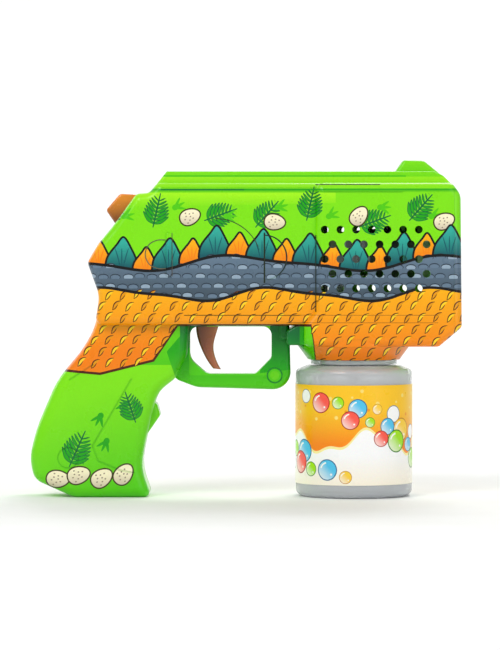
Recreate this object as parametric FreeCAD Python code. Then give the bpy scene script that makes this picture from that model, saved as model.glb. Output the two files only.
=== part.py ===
import FreeCAD, Part
import math
import os

# Battery bubble gun: two moulded half shells hold a motor that blows air through a round nozzle and turns a
# small peristaltic pump, which lifts soap solution from the bottle under the muzzle. The trigger closes the
# switch and swings a wiper down over the nozzle. Millimetres, +X towards the muzzle, +Z up, the halves meet
# at Y = 0. The origin is on the surface that the grip and the bottle stand on, halfway along the toy.

V = FreeCAD.Vector

# ---------------------------------------------------------------- driving dimensions
WALL = 2.0              # shell wall
SEAM = 0.1              # gap between the two half shells
BODY_HALF = 22.0        # half thickness of the barrel
HEAD_HALF = 25.0        # half thickness of the head
RAIL_HALF = 13.0        # half thickness of the top rail
GRIP_HALF = 16.0        # half thickness of the grip
GUARD_HALF = 7.0        # half thickness of the trigger guard
X_MUZZLE = 96.8         # front face
X_HEAD = 31.0           # where the head steps out from the barrel
Z_RAIL = 147.3          # top of the rail
Z_BARREL = 142.0        # top of the barrel and head
Z_FLOOR = 77.9          # underside of the barrel
Z_HEAD = 68.4           # underside of the head
Z_COLLAR = 62.2         # underside of the bottle collar
CHAMFER = (10.4, 8.8)   # lower front corner of the head that is cut off, in X and Z
BEZEL = 3.6             # depth of the muzzle bezel
EDGE = 3.6              # edge rounding of barrel and head
GRIP_EDGE = 5.0         # edge rounding of the grip

X_BOTTLE = 48.9         # bottle axis
BOTTLE_R = 26.5
BOTTLE_Z = 57.4         # top of the bottle's straight side
BOTTLE_WALL = 1.3
NECK_R = 15.2           # bottle neck, without its thread
NECK_H = 12.8
THREAD = 1.1            # thread height
THREAD_PITCH = 3.6
LABEL_Z = (6.1, 51.1)
LABEL_T = 0.15

Z_AXIS = 110.0          # height of the motor, fan and nozzle axis, and of the trigger pivot
MOUTH_R = 11.0          # hole that the bubbles leave by
NOZZLE_R = 13.5
NOZZLE_X = 88.0         # front face of the nozzle
FAN_X = (66.0, 76.0)
MOTOR_R = 10.0
MOTOR_X = (38.0, 63.0)
SHAFT_R = 1.0

MODULE = 0.5
TEETH_PINION = 12
TEETH_BIG = 40
TEETH_SMALL = 12
TEETH_PUMP = 40
GEAR_T = 4.0
GEAR1_X = 31.0          # plane of the pinion and the big wheel
GEAR2_X = 26.0          # plane of the small wheel and the pump wheel
PUMP_Y = 1.8
PUMP_X = 19.0           # middle plane of the pump
TUBE_R = 1.8            # soft tube
TUBE_BORE = 0.9
TRACK_R = 8.6           # centre line of the tube in the pump
ROLLER_R = 2.0
ROLLERS = 3

PIVOT_X = -16.0         # trigger pivot
TRIGGER_HALF = 4.0
PULL = 14.0             # trigger travel, degrees
LEVER_T = 2.0
PIN_R = 1.5

GRIP_TILT = 27.0        # battery axis from the vertical, degrees
CELL_R = 7.25
CELL_L = 50.5
CELL_PITCH = 14.8
CELL_Y = 5.0
CELL_BASE = (-85.6, 18.5)
DOOR_GAP = 0.3
DOOR_T = 2.0

VENT_R = 1.75
VENT_PITCH = (7.03, 6.6)
VENT_START = (35.1, 121.0)

FIT = 0.15              # clearance of pieces that seat in one another
RUN = 0.05              # radial clearance of shafts and pins in their bores
SCREW_R = 1.2
SCREW_HEAD_R = 2.5
BOSS_R = 3.2

# ---------------------------------------------------------------- sizes worked out from them
X_SEAM = X_MUZZLE - BEZEL
INNER = BODY_HALF - WALL
LEVER_Y = INNER - 3.4 - LEVER_T
FAN_HOUSE_R = LEVER_Y - 0.6
FAN_R = FAN_HOUSE_R - 1.7
COLLAR_R = NECK_R + THREAD + 0.4
SOCKET_R = COLLAR_R + 1.9
SHOULDER_Z = BOTTLE_Z + 2.2
NECK_TOP = SHOULDER_Z + NECK_H
TIP = 0.85 * MODULE     # tooth height above the pitch circle
COMPOUND_D = MODULE * (TEETH_PINION + TEETH_BIG) / 2
COMPOUND_Y = -min(INNER - 0.4 - MODULE * TEETH_BIG / 2 - TIP, 0.706 * COMPOUND_D)   # as near the wall as it fits
PUMP_D = MODULE * (TEETH_SMALL + TEETH_PUMP) / 2
COMPOUND_Z = Z_AXIS - math.sqrt(COMPOUND_D ** 2 - COMPOUND_Y ** 2)
PUMP_Z = COMPOUND_Z - math.sqrt(PUMP_D ** 2 - (PUMP_Y - COMPOUND_Y) ** 2)
TRACK_WALL_R = TRACK_R + TUBE_R + 0.05
PUMP_BODY_R = TRACK_WALL_R + 1.7
ROLLER_ORBIT = TRACK_R - TUBE_R - ROLLER_R - 0.1
BLADE_T = 0.9
BLADE_X = (NOZZLE_X + FIT - PIVOT_X) / math.cos(math.radians(PULL / 2)) + 0.1 + PIVOT_X
# The screws: x, z, half thickness of the shell there. Their boss tubes reach from wall to seam.
SCREWS = [(-55, 112, BODY_HALF), (-20, 134, BODY_HALF), (24, 136, BODY_HALF), (80, 134.5, HEAD_HALF),
          (84, 77, HEAD_HALF), (-40, 84, BODY_HALF), (12.8, 55, GUARD_HALF), (-55, 9, GRIP_HALF)]


# ---------------------------------------------------------------- helpers
def rounded_wire(points):
    """Closed wire in the XZ plane through (x, z) or (x, z, radius) corners."""
    corners = [V(p[0], 0, p[1]) for p in points]
    radii = [p[2] if len(p) > 2 else 0.0 for p in points]
    starts, ends, arcs = [], [], []
    for i, c in enumerate(corners):
        a = (corners[i - 1] - c).normalize()
        b = (corners[(i + 1) % len(corners)] - c).normalize()
        half = a.getAngle(b) / 2
        if radii[i] <= 0 or abs(half - math.pi / 2) < 1e-3:
            starts.append(c)
            ends.append(c)
            arcs.append(None)
            continue
        cut = radii[i] / math.tan(half)
        middle = c + (a + b).normalize() * (radii[i] / math.sin(half) - radii[i])
        starts.append(c + a * cut)
        ends.append(c + b * cut)
        arcs.append(middle)
    edges = []
    for i in range(len(corners)):
        if arcs[i] is not None:
            edges.append(Part.Arc(starts[i], arcs[i], ends[i]).toShape())
        after = (i + 1) % len(corners)
        if ends[i].distanceToPoint(starts[after]) > 1e-5:
            edges.append(Part.LineSegment(ends[i], starts[after]).toShape())
    return Part.Wire(edges)


def plate(points, y0, y1):
    """Flat piece with that XZ outline, between two Y planes."""
    face = Part.Face(rounded_wire(points))
    solid = face.extrude(V(0, y1 - y0, 0))
    solid.translate(V(0, y0, 0))
    return solid


def pillow(points, half, edge):
    """Plate from -half to half with its outer edges rounded."""
    solid = plate(points, -half, half)
    rims = [e for e in solid.Edges if all(abs(abs(v.Point.y) - half) < 1e-6 for v in e.Vertexes)]
    return solid.makeFillet(edge, rims)


def inset(points, by):
    """The outline moved in by a wall thickness, as a wire."""
    return rounded_wire(points).makeOffset2D(-by, 2)


def cavity(points, half, by):
    """Inside of a pillow with that wall."""
    solid = Part.Face(inset(points, by)).extrude(V(0, 2 * (half - by), 0))
    solid.translate(V(0, by - half, 0))
    return solid


def rod(axis, start, length, r, y=0.0, x=0.0, z=0.0):
    """Cylinder along X, Y or Z from a start value on that axis."""
    where = {"X": V(start, y, z), "Y": V(x, start, z), "Z": V(x, y, start)}[axis]
    along = {"X": V(1, 0, 0), "Y": V(0, 1, 0), "Z": V(0, 0, 1)}[axis]
    return Part.makeCylinder(r, length, where, along)


def rod_x(x0, x1, r, y=0.0, z=Z_AXIS):
    return rod("X", x0, x1 - x0, r, y=y, z=z)


def rod_y(y0, y1, r, x, z):
    return rod("Y", y0, y1 - y0, r, x=x, z=z)


def rod_z(z0, z1, r, x=X_BOTTLE, y=0.0):
    return rod("Z", z0, z1 - z0, r, x=x, y=y)


def tube_x(x0, x1, outer, inner, y=0.0, z=Z_AXIS):
    return rod_x(x0, x1, outer, y, z).cut(rod_x(x0 - 1, x1 + 1, inner, y, z))


def block(x0, x1, y0, y1, z0, z1):
    return Part.makeBox(x1 - x0, y1 - y0, z1 - z0, V(x0, y0, z0))


def union(shapes):
    """One shape from several, with split faces joined again."""
    first, rest = shapes[0], shapes[1:]
    return first.fuse(rest).removeSplitter() if rest else first


def spun(points, x, y):
    """Solid turned about a vertical axis from an (r, z) outline."""
    wire = rounded_wire(points)
    solid = Part.Face(wire).revolve(V(0, 0, 0), V(0, 0, 1), 360)
    solid.translate(V(x, y, 0))
    return solid


def swept(path_points, radius, section_r, bore_r=0.0):
    """Round tube along straight runs joined by tangent arcs through 3-D points."""
    edges, last = [], path_points[0]
    for i in range(1, len(path_points) - 1):
        c = path_points[i]
        a = (path_points[i - 1] - c).normalize()
        b = (path_points[i + 1] - c).normalize()
        half = a.getAngle(b) / 2
        r = radius[i - 1] if isinstance(radius, list) else radius
        cut = r / math.tan(half)
        start, end = c + a * cut, c + b * cut
        middle = c + (a + b).normalize() * (r / math.sin(half) - r)
        if last.distanceToPoint(start) > 1e-4:
            edges.append(Part.LineSegment(last, start).toShape())
        edges.append(Part.Arc(start, middle, end).toShape())
        last = end
    edges.append(Part.LineSegment(last, path_points[-1]).toShape())
    path = Part.Wire(edges)
    heading = path_points[1] - path_points[0]

    def pipe(r):
        circle = Part.Wire([Part.makeCircle(r, path_points[0], heading)])
        return path.makePipeShell([circle], True, False)

    return pipe(section_r).cut(pipe(bore_r)) if bore_r else pipe(section_r)


def coil(r, wire_r, pitch, turns, origin, axis):
    """Coil spring that starts at origin and runs along axis, as a ruled loft of eight-sided sections."""
    steps, sides = 14, 8
    sections = []
    for k in range(round(turns * steps) + 1):
        a = 2 * math.pi * k / steps
        out = V(math.cos(a), math.sin(a), 0)
        heading = V(-r * math.sin(a), r * math.cos(a), pitch / (2 * math.pi))
        across = heading.cross(out).normalize()
        middle = out * r + V(0, 0, pitch * k / steps)
        ring = [middle + (out * math.cos(t) + across * math.sin(t)) * wire_r
                for t in (2 * math.pi * i / sides for i in range(sides))]
        sections.append(Part.makePolygon(ring + [ring[0]]))
    solid = Part.makeLoft(sections, True, True)
    solid.Placement = FreeCAD.Placement(origin, FreeCAD.Rotation(V(0, 0, 1), axis))
    return solid


def involute(t):
    return math.tan(t) - t


def gear(teeth, x0, x1, y, z, turn, bore):
    """Spur wheel about an X axis. Flanks are involutes of a 20 degree rack with a little backlash."""
    pressure = math.radians(20)
    pitch_r = MODULE * teeth / 2
    base_r = pitch_r * math.cos(pressure)
    tip_r = pitch_r + TIP
    root_r = pitch_r - 1.2 * MODULE
    backlash = 0.12
    half_tooth = math.pi / (2 * teeth) - backlash / (2 * pitch_r)
    flank = []
    for k in range(4):
        r = max(base_r, root_r) + (tip_r - max(base_r, root_r)) * k / 3
        lean = involute(math.acos(min(1.0, base_r / r)))
        flank.append((r, half_tooth + involute(pressure) - lean))
    outline = []
    for n in range(teeth):
        middle = 2 * math.pi * n / teeth
        low = flank[0][1]
        left = [(root_r, middle - low)] + [(r, middle - a) for r, a in flank]
        right = [(r, middle + a) for r, a in reversed(flank)] + [(root_r, middle + low)]
        outline += left + right
    corners = [V(0, r * math.cos(a + turn), r * math.sin(a + turn)) for r, a in outline]
    wheel = Part.Face(Part.makePolygon(corners + [corners[0]])).extrude(V(x1 - x0, 0, 0))
    wheel.translate(V(x0, y, z))
    return wheel.cut(rod_x(x0 - 1, x1 + 1, bore, y, z))


# ---------------------------------------------------------------- outlines of the housing, (x, z, corner radius)
def rail_outline():
    return [(-43.7, Z_BARREL - 6), (-43.7, Z_RAIL - 9.7), (-36.0, Z_RAIL), (84.7, Z_RAIL),
            (88.6, Z_RAIL - 1.6, 8), (X_SEAM - 1.2, Z_BARREL + 0.2), (X_SEAM - 1.2, Z_BARREL - 6)]


def barrel_outline():
    return [(-40.1, Z_BARREL), (-43.7, Z_BARREL - 4.5), (-49.5, Z_BARREL - 4.9), (-60.3, Z_BARREL - 19.8),
            (-66.6, Z_BARREL - 27.4), (-71.6, Z_BARREL - 35.7, 4), (-66.2, 91.5, 14), (-68.2, Z_FLOOR),
            (X_HEAD + 14, Z_FLOOR), (X_HEAD + 14, Z_BARREL)]


def head_outline():
    return [(X_HEAD, Z_BARREL), (92.3, Z_BARREL), (X_MUZZLE - 0.6, Z_BARREL - 5.3, 7),
            (X_MUZZLE, Z_HEAD + CHAMFER[1], 3), (X_MUZZLE - CHAMFER[0], Z_HEAD, 3), (25.2, Z_HEAD), (26.0, Z_FLOOR + 1), (X_HEAD, Z_FLOOR + 7)]


def sight_outline():
    return [(67.6, Z_RAIL - 3), (67.6, Z_RAIL), (71.2, Z_RAIL + 5.2, 1.5), (80.4, Z_RAIL + 5.0, 3),
            (84.9, Z_RAIL + 1.3, 3), (88.6, Z_RAIL - 1.7), (88.0, Z_RAIL - 4)]


def grip_outline():
    return [(-63.5, 100.0), (-66.4, 88.0, 30), (-68.6, 76.0, 30), (-74.8, 66.0, 30), (-85.6, 53.0, 40),
            (-94.6, 32.0, 60), (-98.3, 17.5, 22), (-95.8, 8.0, 7), (-78.0, 0.0, 12), (-43.0, 0.0, 2.5),
            (-47.8, 13.5, 24), (-45.6, 26.0, 30), (-42.6, 38.5, 24), (-40.4, 47.5, 14), (-32.0, 54.0, 8),
            (-27.0, 64.0, 10), (-25.7, 78.0), (-25.7, 100.0)]


def guard_outline():
    return [(-36.0, 57.0), (-31.0, 52.8), (-22.5, 49.6, 12), (20.2, 48.4, 8), (19.4, Z_FLOOR + 2),
            (-36.0, Z_FLOOR + 2)]


def guard_hole():
    return [(-25.7, 77.2, 4), (-25.7, 62.5, 7), (-18.0, 55.7, 6), (4.2, 55.7, 2.5), (11.4, 63.0, 3),
            (11.4, 77.2, 4)]


def lug_outline():
    return [(18.3, Z_HEAD + 0.6), (18.3, Z_HEAD + 6.8), (23.2, Z_HEAD + 10.2), (25.0, Z_HEAD + 11.8, 1),
            (27.3, Z_HEAD + 11.0, 1), (29.2, Z_HEAD + 0.6)]


def hammer_outline(grow=0.0):
    return [(-45.5 + grow, 130.5), (-48.6 + grow, 136.9 + grow), (-57.4, 137.4 + grow, 2.6),
            (-63.8 - grow, 130.0, 1.6), (-59.4 - grow, 123.6 - grow, 1.0), (-52.5, 121.0 - grow)]


# ---------------------------------------------------------------- housing
def collar_cone(top_r, low_r, z0=Z_COLLAR, z1=Z_HEAD + 3):
    slope = (top_r - low_r) / (Z_HEAD - Z_COLLAR)
    r1 = min(top_r, low_r + slope * (z1 - z0))
    return Part.makeCone(low_r, r1, (r1 - low_r) / slope, V(X_BOTTLE, 0, z0), V(0, 0, 1)).fuse(
        rod_z(Z_HEAD - 0.02, z1, r1))


def outer_form():
    """The whole toy's outer skin as one solid, before it is split and hollowed."""
    guard = pillow(guard_outline(), GUARD_HALF, 2.2)
    hole = plate(guard_hole(), -GUARD_HALF - 20, GUARD_HALF + 20)
    forms = [pillow(barrel_outline(), BODY_HALF, EDGE), pillow(head_outline(), HEAD_HALF, EDGE),
             pillow(rail_outline(), RAIL_HALF, 0.9), pillow(grip_outline(), GRIP_HALF, GRIP_EDGE),
             pillow(sight_outline(), 7.0, 1.5), guard,
             pillow(lug_outline(), BODY_HALF - 3, 1.2), pillow([(15.0, 71.4, 1.3), (18.8, 71.4), (18.8, 79),
                                                                (15.0, 79)], 11.0, 1.0)]
    form = union(forms)
    form = form.cut(hole)
    stop = pillow([(-47.0, 44.5), (-40.6, 42.2), (-39.1, 37.0), (-46.0, 27.0), (-52.0, 34.0)], 9.0, 2.0)
    cone = collar_cone(HEAD_HALF + 0.4, SOCKET_R + 2.3)
    return union([form, stop, cone])


def inner_form():
    """Space inside the shells."""
    spaces = [cavity(barrel_outline(), BODY_HALF, WALL), cavity(head_outline(), HEAD_HALF, WALL),
              cavity(grip_outline(), GRIP_HALF, WALL),
              rod_z(Z_COLLAR - 1, Z_HEAD + WALL + 1, SOCKET_R + FIT)]
    return union(spaces)


def vents():
    """Staggered rows of air holes; the left side's are half a pitch on, so nothing shines straight through."""
    dx, dz = VENT_PITCH
    holes = []
    for row in range(5):
        for column in range(7):
            z = VENT_START[1] - row * dz
            for odd, y in ((row % 2, -HEAD_HALF - 1), (1 - row % 2, HEAD_HALF + 1)):
                x = VENT_START[0] + (column + odd / 2) * dx
                holes.append(rod_y(min(y, 0), max(y, 0), VENT_R, x, z))
    return holes


def groove(points, width, half, depth):
    """Shallow straight-sided groove along a polyline on both faces at that half thickness."""
    cuts = []
    for a, b in zip(points, points[1:]):
        run = V(b[0] - a[0], 0, b[1] - a[1])
        side = V(-run.z, 0, run.x).normalize() * (width / 2)
        ends = [V(a[0], 0, a[1]), V(b[0], 0, b[1])]
        corners = [ends[0] + side, ends[1] + side, ends[1] - side, ends[0] - side]
        bar = Part.Face(Part.makePolygon(corners + [corners[0]])).extrude(V(0, 2 * depth, 0))
        for middle in (-half, half):
            copy = bar.copy()
            copy.translate(V(0, middle - depth, 0))
            cuts.append(copy)
    return cuts


def ring_groove(x, z, r, width, half, depth, y_sign=(-1, 1)):
    cuts = []
    for s in y_sign:
        low, high = sorted((s * (half - depth), s * (half + depth)))
        cuts.append(rod_y(low, high, r + width / 2, x, z).cut(rod_y(low - 1, high + 1, r - width / 2, x, z)))
    return cuts


def side_relief():
    """Moulded lines and panels that show on both sides."""
    cuts = groove([(-38.5, Z_BARREL - 2.4), (X_HEAD, Z_BARREL - 2.4)], 0.7, BODY_HALF, 0.5)
    cuts += groove([(X_HEAD, Z_BARREL - 4.2), (70, Z_BARREL - 4.2)], 0.6, HEAD_HALF, 0.4)
    cuts += groove([(8.1, 119.7), (8.1, 97.0)], 0.8, BODY_HALF, 0.5)
    cuts += groove([(-28.0, Z_FLOOR + 4.6), (24.0, Z_FLOOR + 4.6)], 0.5, BODY_HALF, 0.4)
    arc = ring_groove(-14.0, 105.0, 21.0, 0.5, BODY_HALF, 0.4)
    keep = block(-14, 8.1, -40, 40, 112, 135)
    cuts += [a.common(keep) for a in arc]
    arc = ring_groove(8.1, 108.5, 10.0, 0.5, BODY_HALF, 0.4)
    cuts += [a.common(block(8.1, 30, -40, 40, 90, 130)) for a in arc]
    d_panel = [(-36.2, 116.4), (-42.0, 116.4, 5.8), (-47.9, 110.0, 6.4), (-42.0, 103.5, 5.8), (-36.2, 103.5)]
    for s in (-1, 1):
        low, high = sorted((s * (BODY_HALF - 0.5), s * (BODY_HALF + 1)))
        cuts.append(plate(d_panel, low, high))
    grip_lines = [(-51.8, 53.8), (-69.5, 23.5), (-66.8, 16.5), (-57.0, 12.4), (-50.5, 11.2)]
    cuts += [c for c in groove(grip_lines, 0.8, GRIP_HALF, 0.5) if c.BoundBox.YMax < 0]
    cuts += [c for c in groove([(-69.0, 60.3), (-80.0, 53.2)], 0.7, GRIP_HALF, 0.5) if c.BoundBox.YMax < 0]
    cuts += ring_groove(-80.5, 18.0, 4.6, 0.6, GRIP_HALF, 0.5, (-1,))
    return cuts


def side_ribs():
    """Raised upright band in front of the D panel, and the pads on the guard."""
    band = [(-36.0, 119.5, 1.5), (-33.6, 119.5, 1.5), (-33.6, 100.0, 1.5), (-36.0, 100.0, 1.5)]
    half = BODY_HALF + 0.9
    return [pillow([(p[0], p[1]) for p in band], half, 0.6),
            rod_y(-GUARD_HALF - 0.4, -GUARD_HALF + 1, 3.4, 12.8, 55)]


def grip_axes():
    tilt = math.radians(GRIP_TILT)
    up = V(math.sin(tilt), 0, math.cos(tilt))
    front = V(math.cos(tilt), 0, -math.sin(tilt))
    return V(CELL_BASE[0], 0, CELL_BASE[1]), up, front


def grip_point(w, s):
    """Point in the grip's battery frame: w towards the front, s up along the cells."""
    base, up, front = grip_axes()
    p = base + front * w + up * s
    return p.x, p.z


def grip_box(w0, w1, s0, s1, y0, y1, r=0.0):
    corners = [(w0, s0), (w1, s0), (w1, s1), (w0, s1)]
    return plate([(*grip_point(w, s), r) for w, s in corners], y0, y1)


DOOR_W = (-5.0, CELL_PITCH + 5.0)
DOOR_S = (-3.0, CELL_L + 11.0)
DOOR_SCREW = (CELL_PITCH / 2, CELL_L + 7.6)
DOOR_TOWER = (CELL_PITCH / 2 - 4, CELL_PITCH / 2 + 4, CELL_L + 4.8, DOOR_S[1] + 1.0, GRIP_HALF - DOOR_T - 5.5)
TRAY_Y = CELL_Y - CELL_R - 1.55


def door_form(grow, y0, y1):
    return grip_box(DOOR_W[0] - grow, DOOR_W[1] + grow, DOOR_S[0] - grow, DOOR_S[1] + grow, y0, y1, 3.0)


def side_supports(s):
    """Ribs inside one half that hold the fan duct, the gearbox, the bottle socket and the drip tray."""
    def rib(x0, x1, y_wall, y_tip, z0, z1):
        low, high = sorted((s * y_wall, s * y_tip))
        return block(x0, x1, low, high, z0, z1)

    wall = HEAD_HALF - WALL + 0.5
    fan_x = (FAN_X[0] + FAN_X[1]) / 2
    top = rib(fan_x - 0.8, fan_x + 0.8, SEAM / 2, 9.0, Z_AXIS + 8, Z_BARREL - 1)
    ribs = [top.cut(rod_x(fan_x - 2, fan_x + 2, FAN_HOUSE_R + 0.05))]
    plate_x = MOTOR_X[0] - 1.3
    tip = LEVER_Y - 1.8 if s > 0 else LEVER_Y + 1.2
    for x0 in (plate_x - 1.4 - FIT - 1.2, plate_x + FIT):
        ribs.append(rib(x0, x0 + 1.2, wall, tip, 87.5, 91.5))
    ribs.append(rib(X_BOTTLE - 6, X_BOTTLE + 6, wall, SOCKET_R + 1.4, Z_HEAD + WALL + 2.2, Z_HEAD + WALL + 4.2))
    ribs.append(rib(79.0, 80.6, wall, 10.0, 77.5, 83.0))
    if s < 0:
        cradle = rib(fan_x - 0.8, fan_x + 0.8, wall, 8.0, Z_AXIS - 12, Z_AXIS + 6)
        ribs.append(cradle.cut(rod_x(fan_x - 2, fan_x + 2, FAN_HOUSE_R + 0.05)))
    return ribs


def screw_seat(half):
    """Y of the face that a screw's head rests on."""
    return min(6.0, half - 3.0)


def make_shells():
    skin = union([outer_form()] + side_ribs())
    space = inner_form()
    skin = skin.cut(vents() + side_relief())
    front = skin.common(block(X_SEAM, X_MUZZLE + 5, -60, 60, 0, 200))
    shell = skin.common(block(-200, X_SEAM - 0.05, -60, 60, 0, 200)).cut(space)
    # the trigger's slot, the hammer's slot and the open front
    shell = shell.cut([block(-37, -10, -TRIGGER_HALF - 0.6, TRIGGER_HALF + 0.6, 56.5, Z_FLOOR + 4),
                       plate(hammer_outline(0.2), -5.2, 5.2)])
    right = shell.common(block(-200, 200, -60, -SEAM / 2, -10, 200))
    left = shell.common(block(-200, 200, SEAM / 2, 60, -10, 200))
    right_adds, left_adds, right_cuts, left_cuts = [], [], [], []
    for x, z, half in SCREWS:
        seat = screw_seat(half)
        reach = min(12.0, half - 2.0)
        right_cuts.append(rod_y(-reach, 1, SCREW_R + RUN, x, z))
        left_cuts.append(rod_y(-1, seat + 1, SCREW_R + 0.3, x, z))
        left_cuts.append(rod_y(seat, half + 1, SCREW_HEAD_R + 0.3, x, z))
        if half > GUARD_HALF:
            right_adds.append(rod_y(WALL / 2 - half, -SEAM / 2, BOSS_R, x, z))
            left_adds.append(rod_y(SEAM / 2, half - WALL / 2, SCREW_HEAD_R + 1.8, x, z))
    # trigger pivot bosses and the spring's seat
    pivot_face = LEVER_Y + LEVER_T + 0.3
    right_adds.append(rod_y(WALL / 2 - BODY_HALF, -TRIGGER_HALF - 0.8, 3.6, PIVOT_X, Z_AXIS))
    left_adds.append(rod_y(pivot_face, BODY_HALF - WALL / 2, 3.6, PIVOT_X, Z_AXIS))
    right_cuts.append(rod_y(-INNER + 1.8, 0, PIN_R + RUN, PIVOT_X, Z_AXIS))
    left_cuts.append(rod_y(0, INNER - 0.2, PIN_R + RUN, PIVOT_X, Z_AXIS))
    right_adds.append(block(-33.5, -31.8, -INNER - 0.5, -SEAM / 2, 82, 90))
    left_adds.append(block(-33.5, -31.8, SEAM / 2, INNER + 0.5, 82, 90))
    # ledge that the battery door rests on
    ledge = door_form(2.5, GRIP_HALF - DOOR_T - 1.4, GRIP_HALF - DOOR_T + 0.01)
    ledge = ledge.cut(door_form(-1.3, 0, 40)).common(cavity(grip_outline(), GRIP_HALF + 2, WALL / 2))
    w0, w1, s0, s1, low = DOOR_TOWER
    left_adds += [ledge, grip_box(w0, w1, s0, s1, low, GRIP_HALF - DOOR_T)]
    right_adds += [grip_box(-4.0, CELL_PITCH + 4.0, s, s + 1.6, 1 - GRIP_HALF, TRAY_Y - 0.05) for s in (10, 36)]
    right_adds += side_supports(-1)
    left_adds += side_supports(1)
    left_cuts.append(door_form(DOOR_GAP, GRIP_HALF - DOOR_T, GRIP_HALF + 5))
    x, z = grip_point(*DOOR_SCREW)
    left_cuts.append(rod_y(low - 1, GRIP_HALF, SCREW_R + RUN, x, z))
    opening = door_form(-1.3, -0.5, GRIP_HALF + 5).cut(grip_box(w0 - 0.01, w1 + 0.01, s0 - 0.01, s1 + 9, low - 9, 40))
    left_cuts.append(opening.common(block(-200, 0, GRIP_HALF - DOOR_T - 1.4, 40, 0, 100)))
    right = union([right] + right_adds).cut(right_cuts)
    left = union([left] + left_adds).cut(left_cuts)
    return main_solid(right), main_solid(left), front


def main_solid(shape):
    """The largest solid: loose crumbs left by cuts are dropped."""
    return max(shape.Solids, key=lambda s: s.Volume)


def make_bezel(front):
    """Front cap with a flared mouth and four pegs that enter the shells."""
    flare = Part.makeCone(NOZZLE_R + 1.2, NOZZLE_R + 4.2, BEZEL + 0.02, V(X_SEAM - 0.01, 0, Z_AXIS), V(1, 0, 0))
    face = front.cut(flare)
    pegs = [rod_x(X_SEAM - 3, X_SEAM + 1, 1.8, y, z)
            for y in (-HEAD_HALF + 5.2, HEAD_HALF - 5.2) for z in (Z_HEAD + CHAMFER[1] + 4, Z_BARREL - 10)]
    return union([main_solid(face)] + pegs)


def make_screws():
    screws = []
    for x, z, half in SCREWS:
        seat = screw_seat(half)
        reach = min(9.0, half - 3.0)
        head = rod_y(seat, seat + 1.7, SCREW_HEAD_R, x, z).cut(cross_slot(x, z, seat + 1.7, 1))
        screws.append(head.fuse(rod_y(-reach, seat, SCREW_R, x, z)))
    return Part.makeCompound(screws)


def cross_slot(x, z, y, sign):
    """Cross recess for a screw head whose face is at y."""
    low, high = sorted((y - sign * 0.9, y + sign * 0.5))
    return block(x - 1.3, x + 1.3, low, high, z - 0.3, z + 0.3).fuse(
        block(x - 0.3, x + 0.3, low, high, z - 1.3, z + 1.3))


# ---------------------------------------------------------------- air path and motor
def make_air_nozzle():
    """Tapered duct from the fan to the mouth, with a notched front ring and an ear for the tube."""
    x0 = FAN_X[1] + 1.2
    outer = Part.makeCone(FAN_HOUSE_R, NOZZLE_R, NOZZLE_X - 4 - x0, V(x0, 0, Z_AXIS), V(1, 0, 0))
    outer = outer.fuse([rod_x(NOZZLE_X - 4, NOZZLE_X, NOZZLE_R), *nozzle_ear()[:1]])
    bore = Part.makeCone(FAN_HOUSE_R - 1.0, MOUTH_R, NOZZLE_X - 4 - x0 + 0.02,
                         V(x0 - 0.01, 0, Z_AXIS), V(1, 0, 0))
    cuts = [bore, rod_x(NOZZLE_X - 4.1, NOZZLE_X + 1, MOUTH_R), *nozzle_ear()[1:]]
    cuts.append(tube_x(NOZZLE_X - 1.0, NOZZLE_X + 1, MOUTH_R + 1.7, MOUTH_R + 0.9))
    for k in range(20):
        notch = block(NOZZLE_X - 0.8, NOZZLE_X + 1, -0.35, 0.35, Z_AXIS + MOUTH_R - 0.5, Z_AXIS + MOUTH_R + 1.2)
        notch.rotate(V(0, 0, Z_AXIS), V(1, 0, 0), 18 * k)
        cuts.append(notch)
    return outer.cut(cuts)


TUBE_RISE = 8.0         # how far above the axis the tube passes the fan housing, 0.325 clear of it
TUBE_OUT = (-math.sqrt((FAN_HOUSE_R + TUBE_R + 0.325) ** 2 - TUBE_RISE ** 2), Z_AXIS + TUBE_RISE)


def nozzle_ear():
    y, z = TUBE_OUT
    ear = rod_x(NOZZLE_X - 8, NOZZLE_X - 1.5, TUBE_R + 1.2, y, z).fuse(
        rod_x(NOZZLE_X - 4, NOZZLE_X - 1.5, TUBE_R + 1.2, y * 0.85, Z_AXIS + TUBE_RISE * 0.85))
    return [ear, rod_x(NOZZLE_X - 9, NOZZLE_X - 3, TUBE_R + RUN, y, z)]


def make_fan_housing():
    """Round fan duct with a spoked ring behind it that grips the motor."""
    x0, x1 = FAN_X
    duct = tube_x(x0 - 2, x1 + 1.2, FAN_HOUSE_R, FAN_HOUSE_R - 1.0)
    grip = tube_x(MOTOR_X[1] - 7, x0 - 0.6, MOTOR_R + 1.4, MOTOR_R + RUN)
    ring = [duct, grip]
    for k in range(3):
        spoke = block(x0 - 2, x0 - 0.6, -1.0, 1.0, Z_AXIS + MOTOR_R + 0.8, Z_AXIS + FAN_HOUSE_R - 0.5)
        spoke.rotate(V(0, 0, Z_AXIS), V(1, 0, 0), 120 * k + 60)
        ring.append(spoke)
    return union(ring)


def make_fan():
    """Hub with a domed nose and seven twisted blades."""
    x0, x1 = FAN_X
    hub = rod_x(x0 + 0.8, x1 - 1.5, 4.0).fuse(Part.makeSphere(4.0, V(x1 - 3.0, 0, Z_AXIS), V(1, 0, 0)).common(
        block(x1 - 4, x1 + 2, -5, 5, Z_AXIS - 5, Z_AXIS + 5)))
    ring = tube_x(x0 + 0.8, x1 - 1.5, FAN_R, 3.0)
    blades = []
    for k in range(7):
        blade = block(-8, 8, -0.6, 0.6, 0, FAN_R + 2)
        blade.rotate(V(0, 0, 0), V(0, 0, 1), 38)
        blade.translate(V((x0 + x1) / 2 - 0.4, 0, Z_AXIS))
        blade.rotate(V(0, 0, Z_AXIS), V(1, 0, 0), 360 / 7 * k)
        blades.append(blade.common(ring))
    fan = union([hub] + blades)
    return fan.cut(rod_x(x0 - 1, x1 + 3, SHAFT_R))


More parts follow.
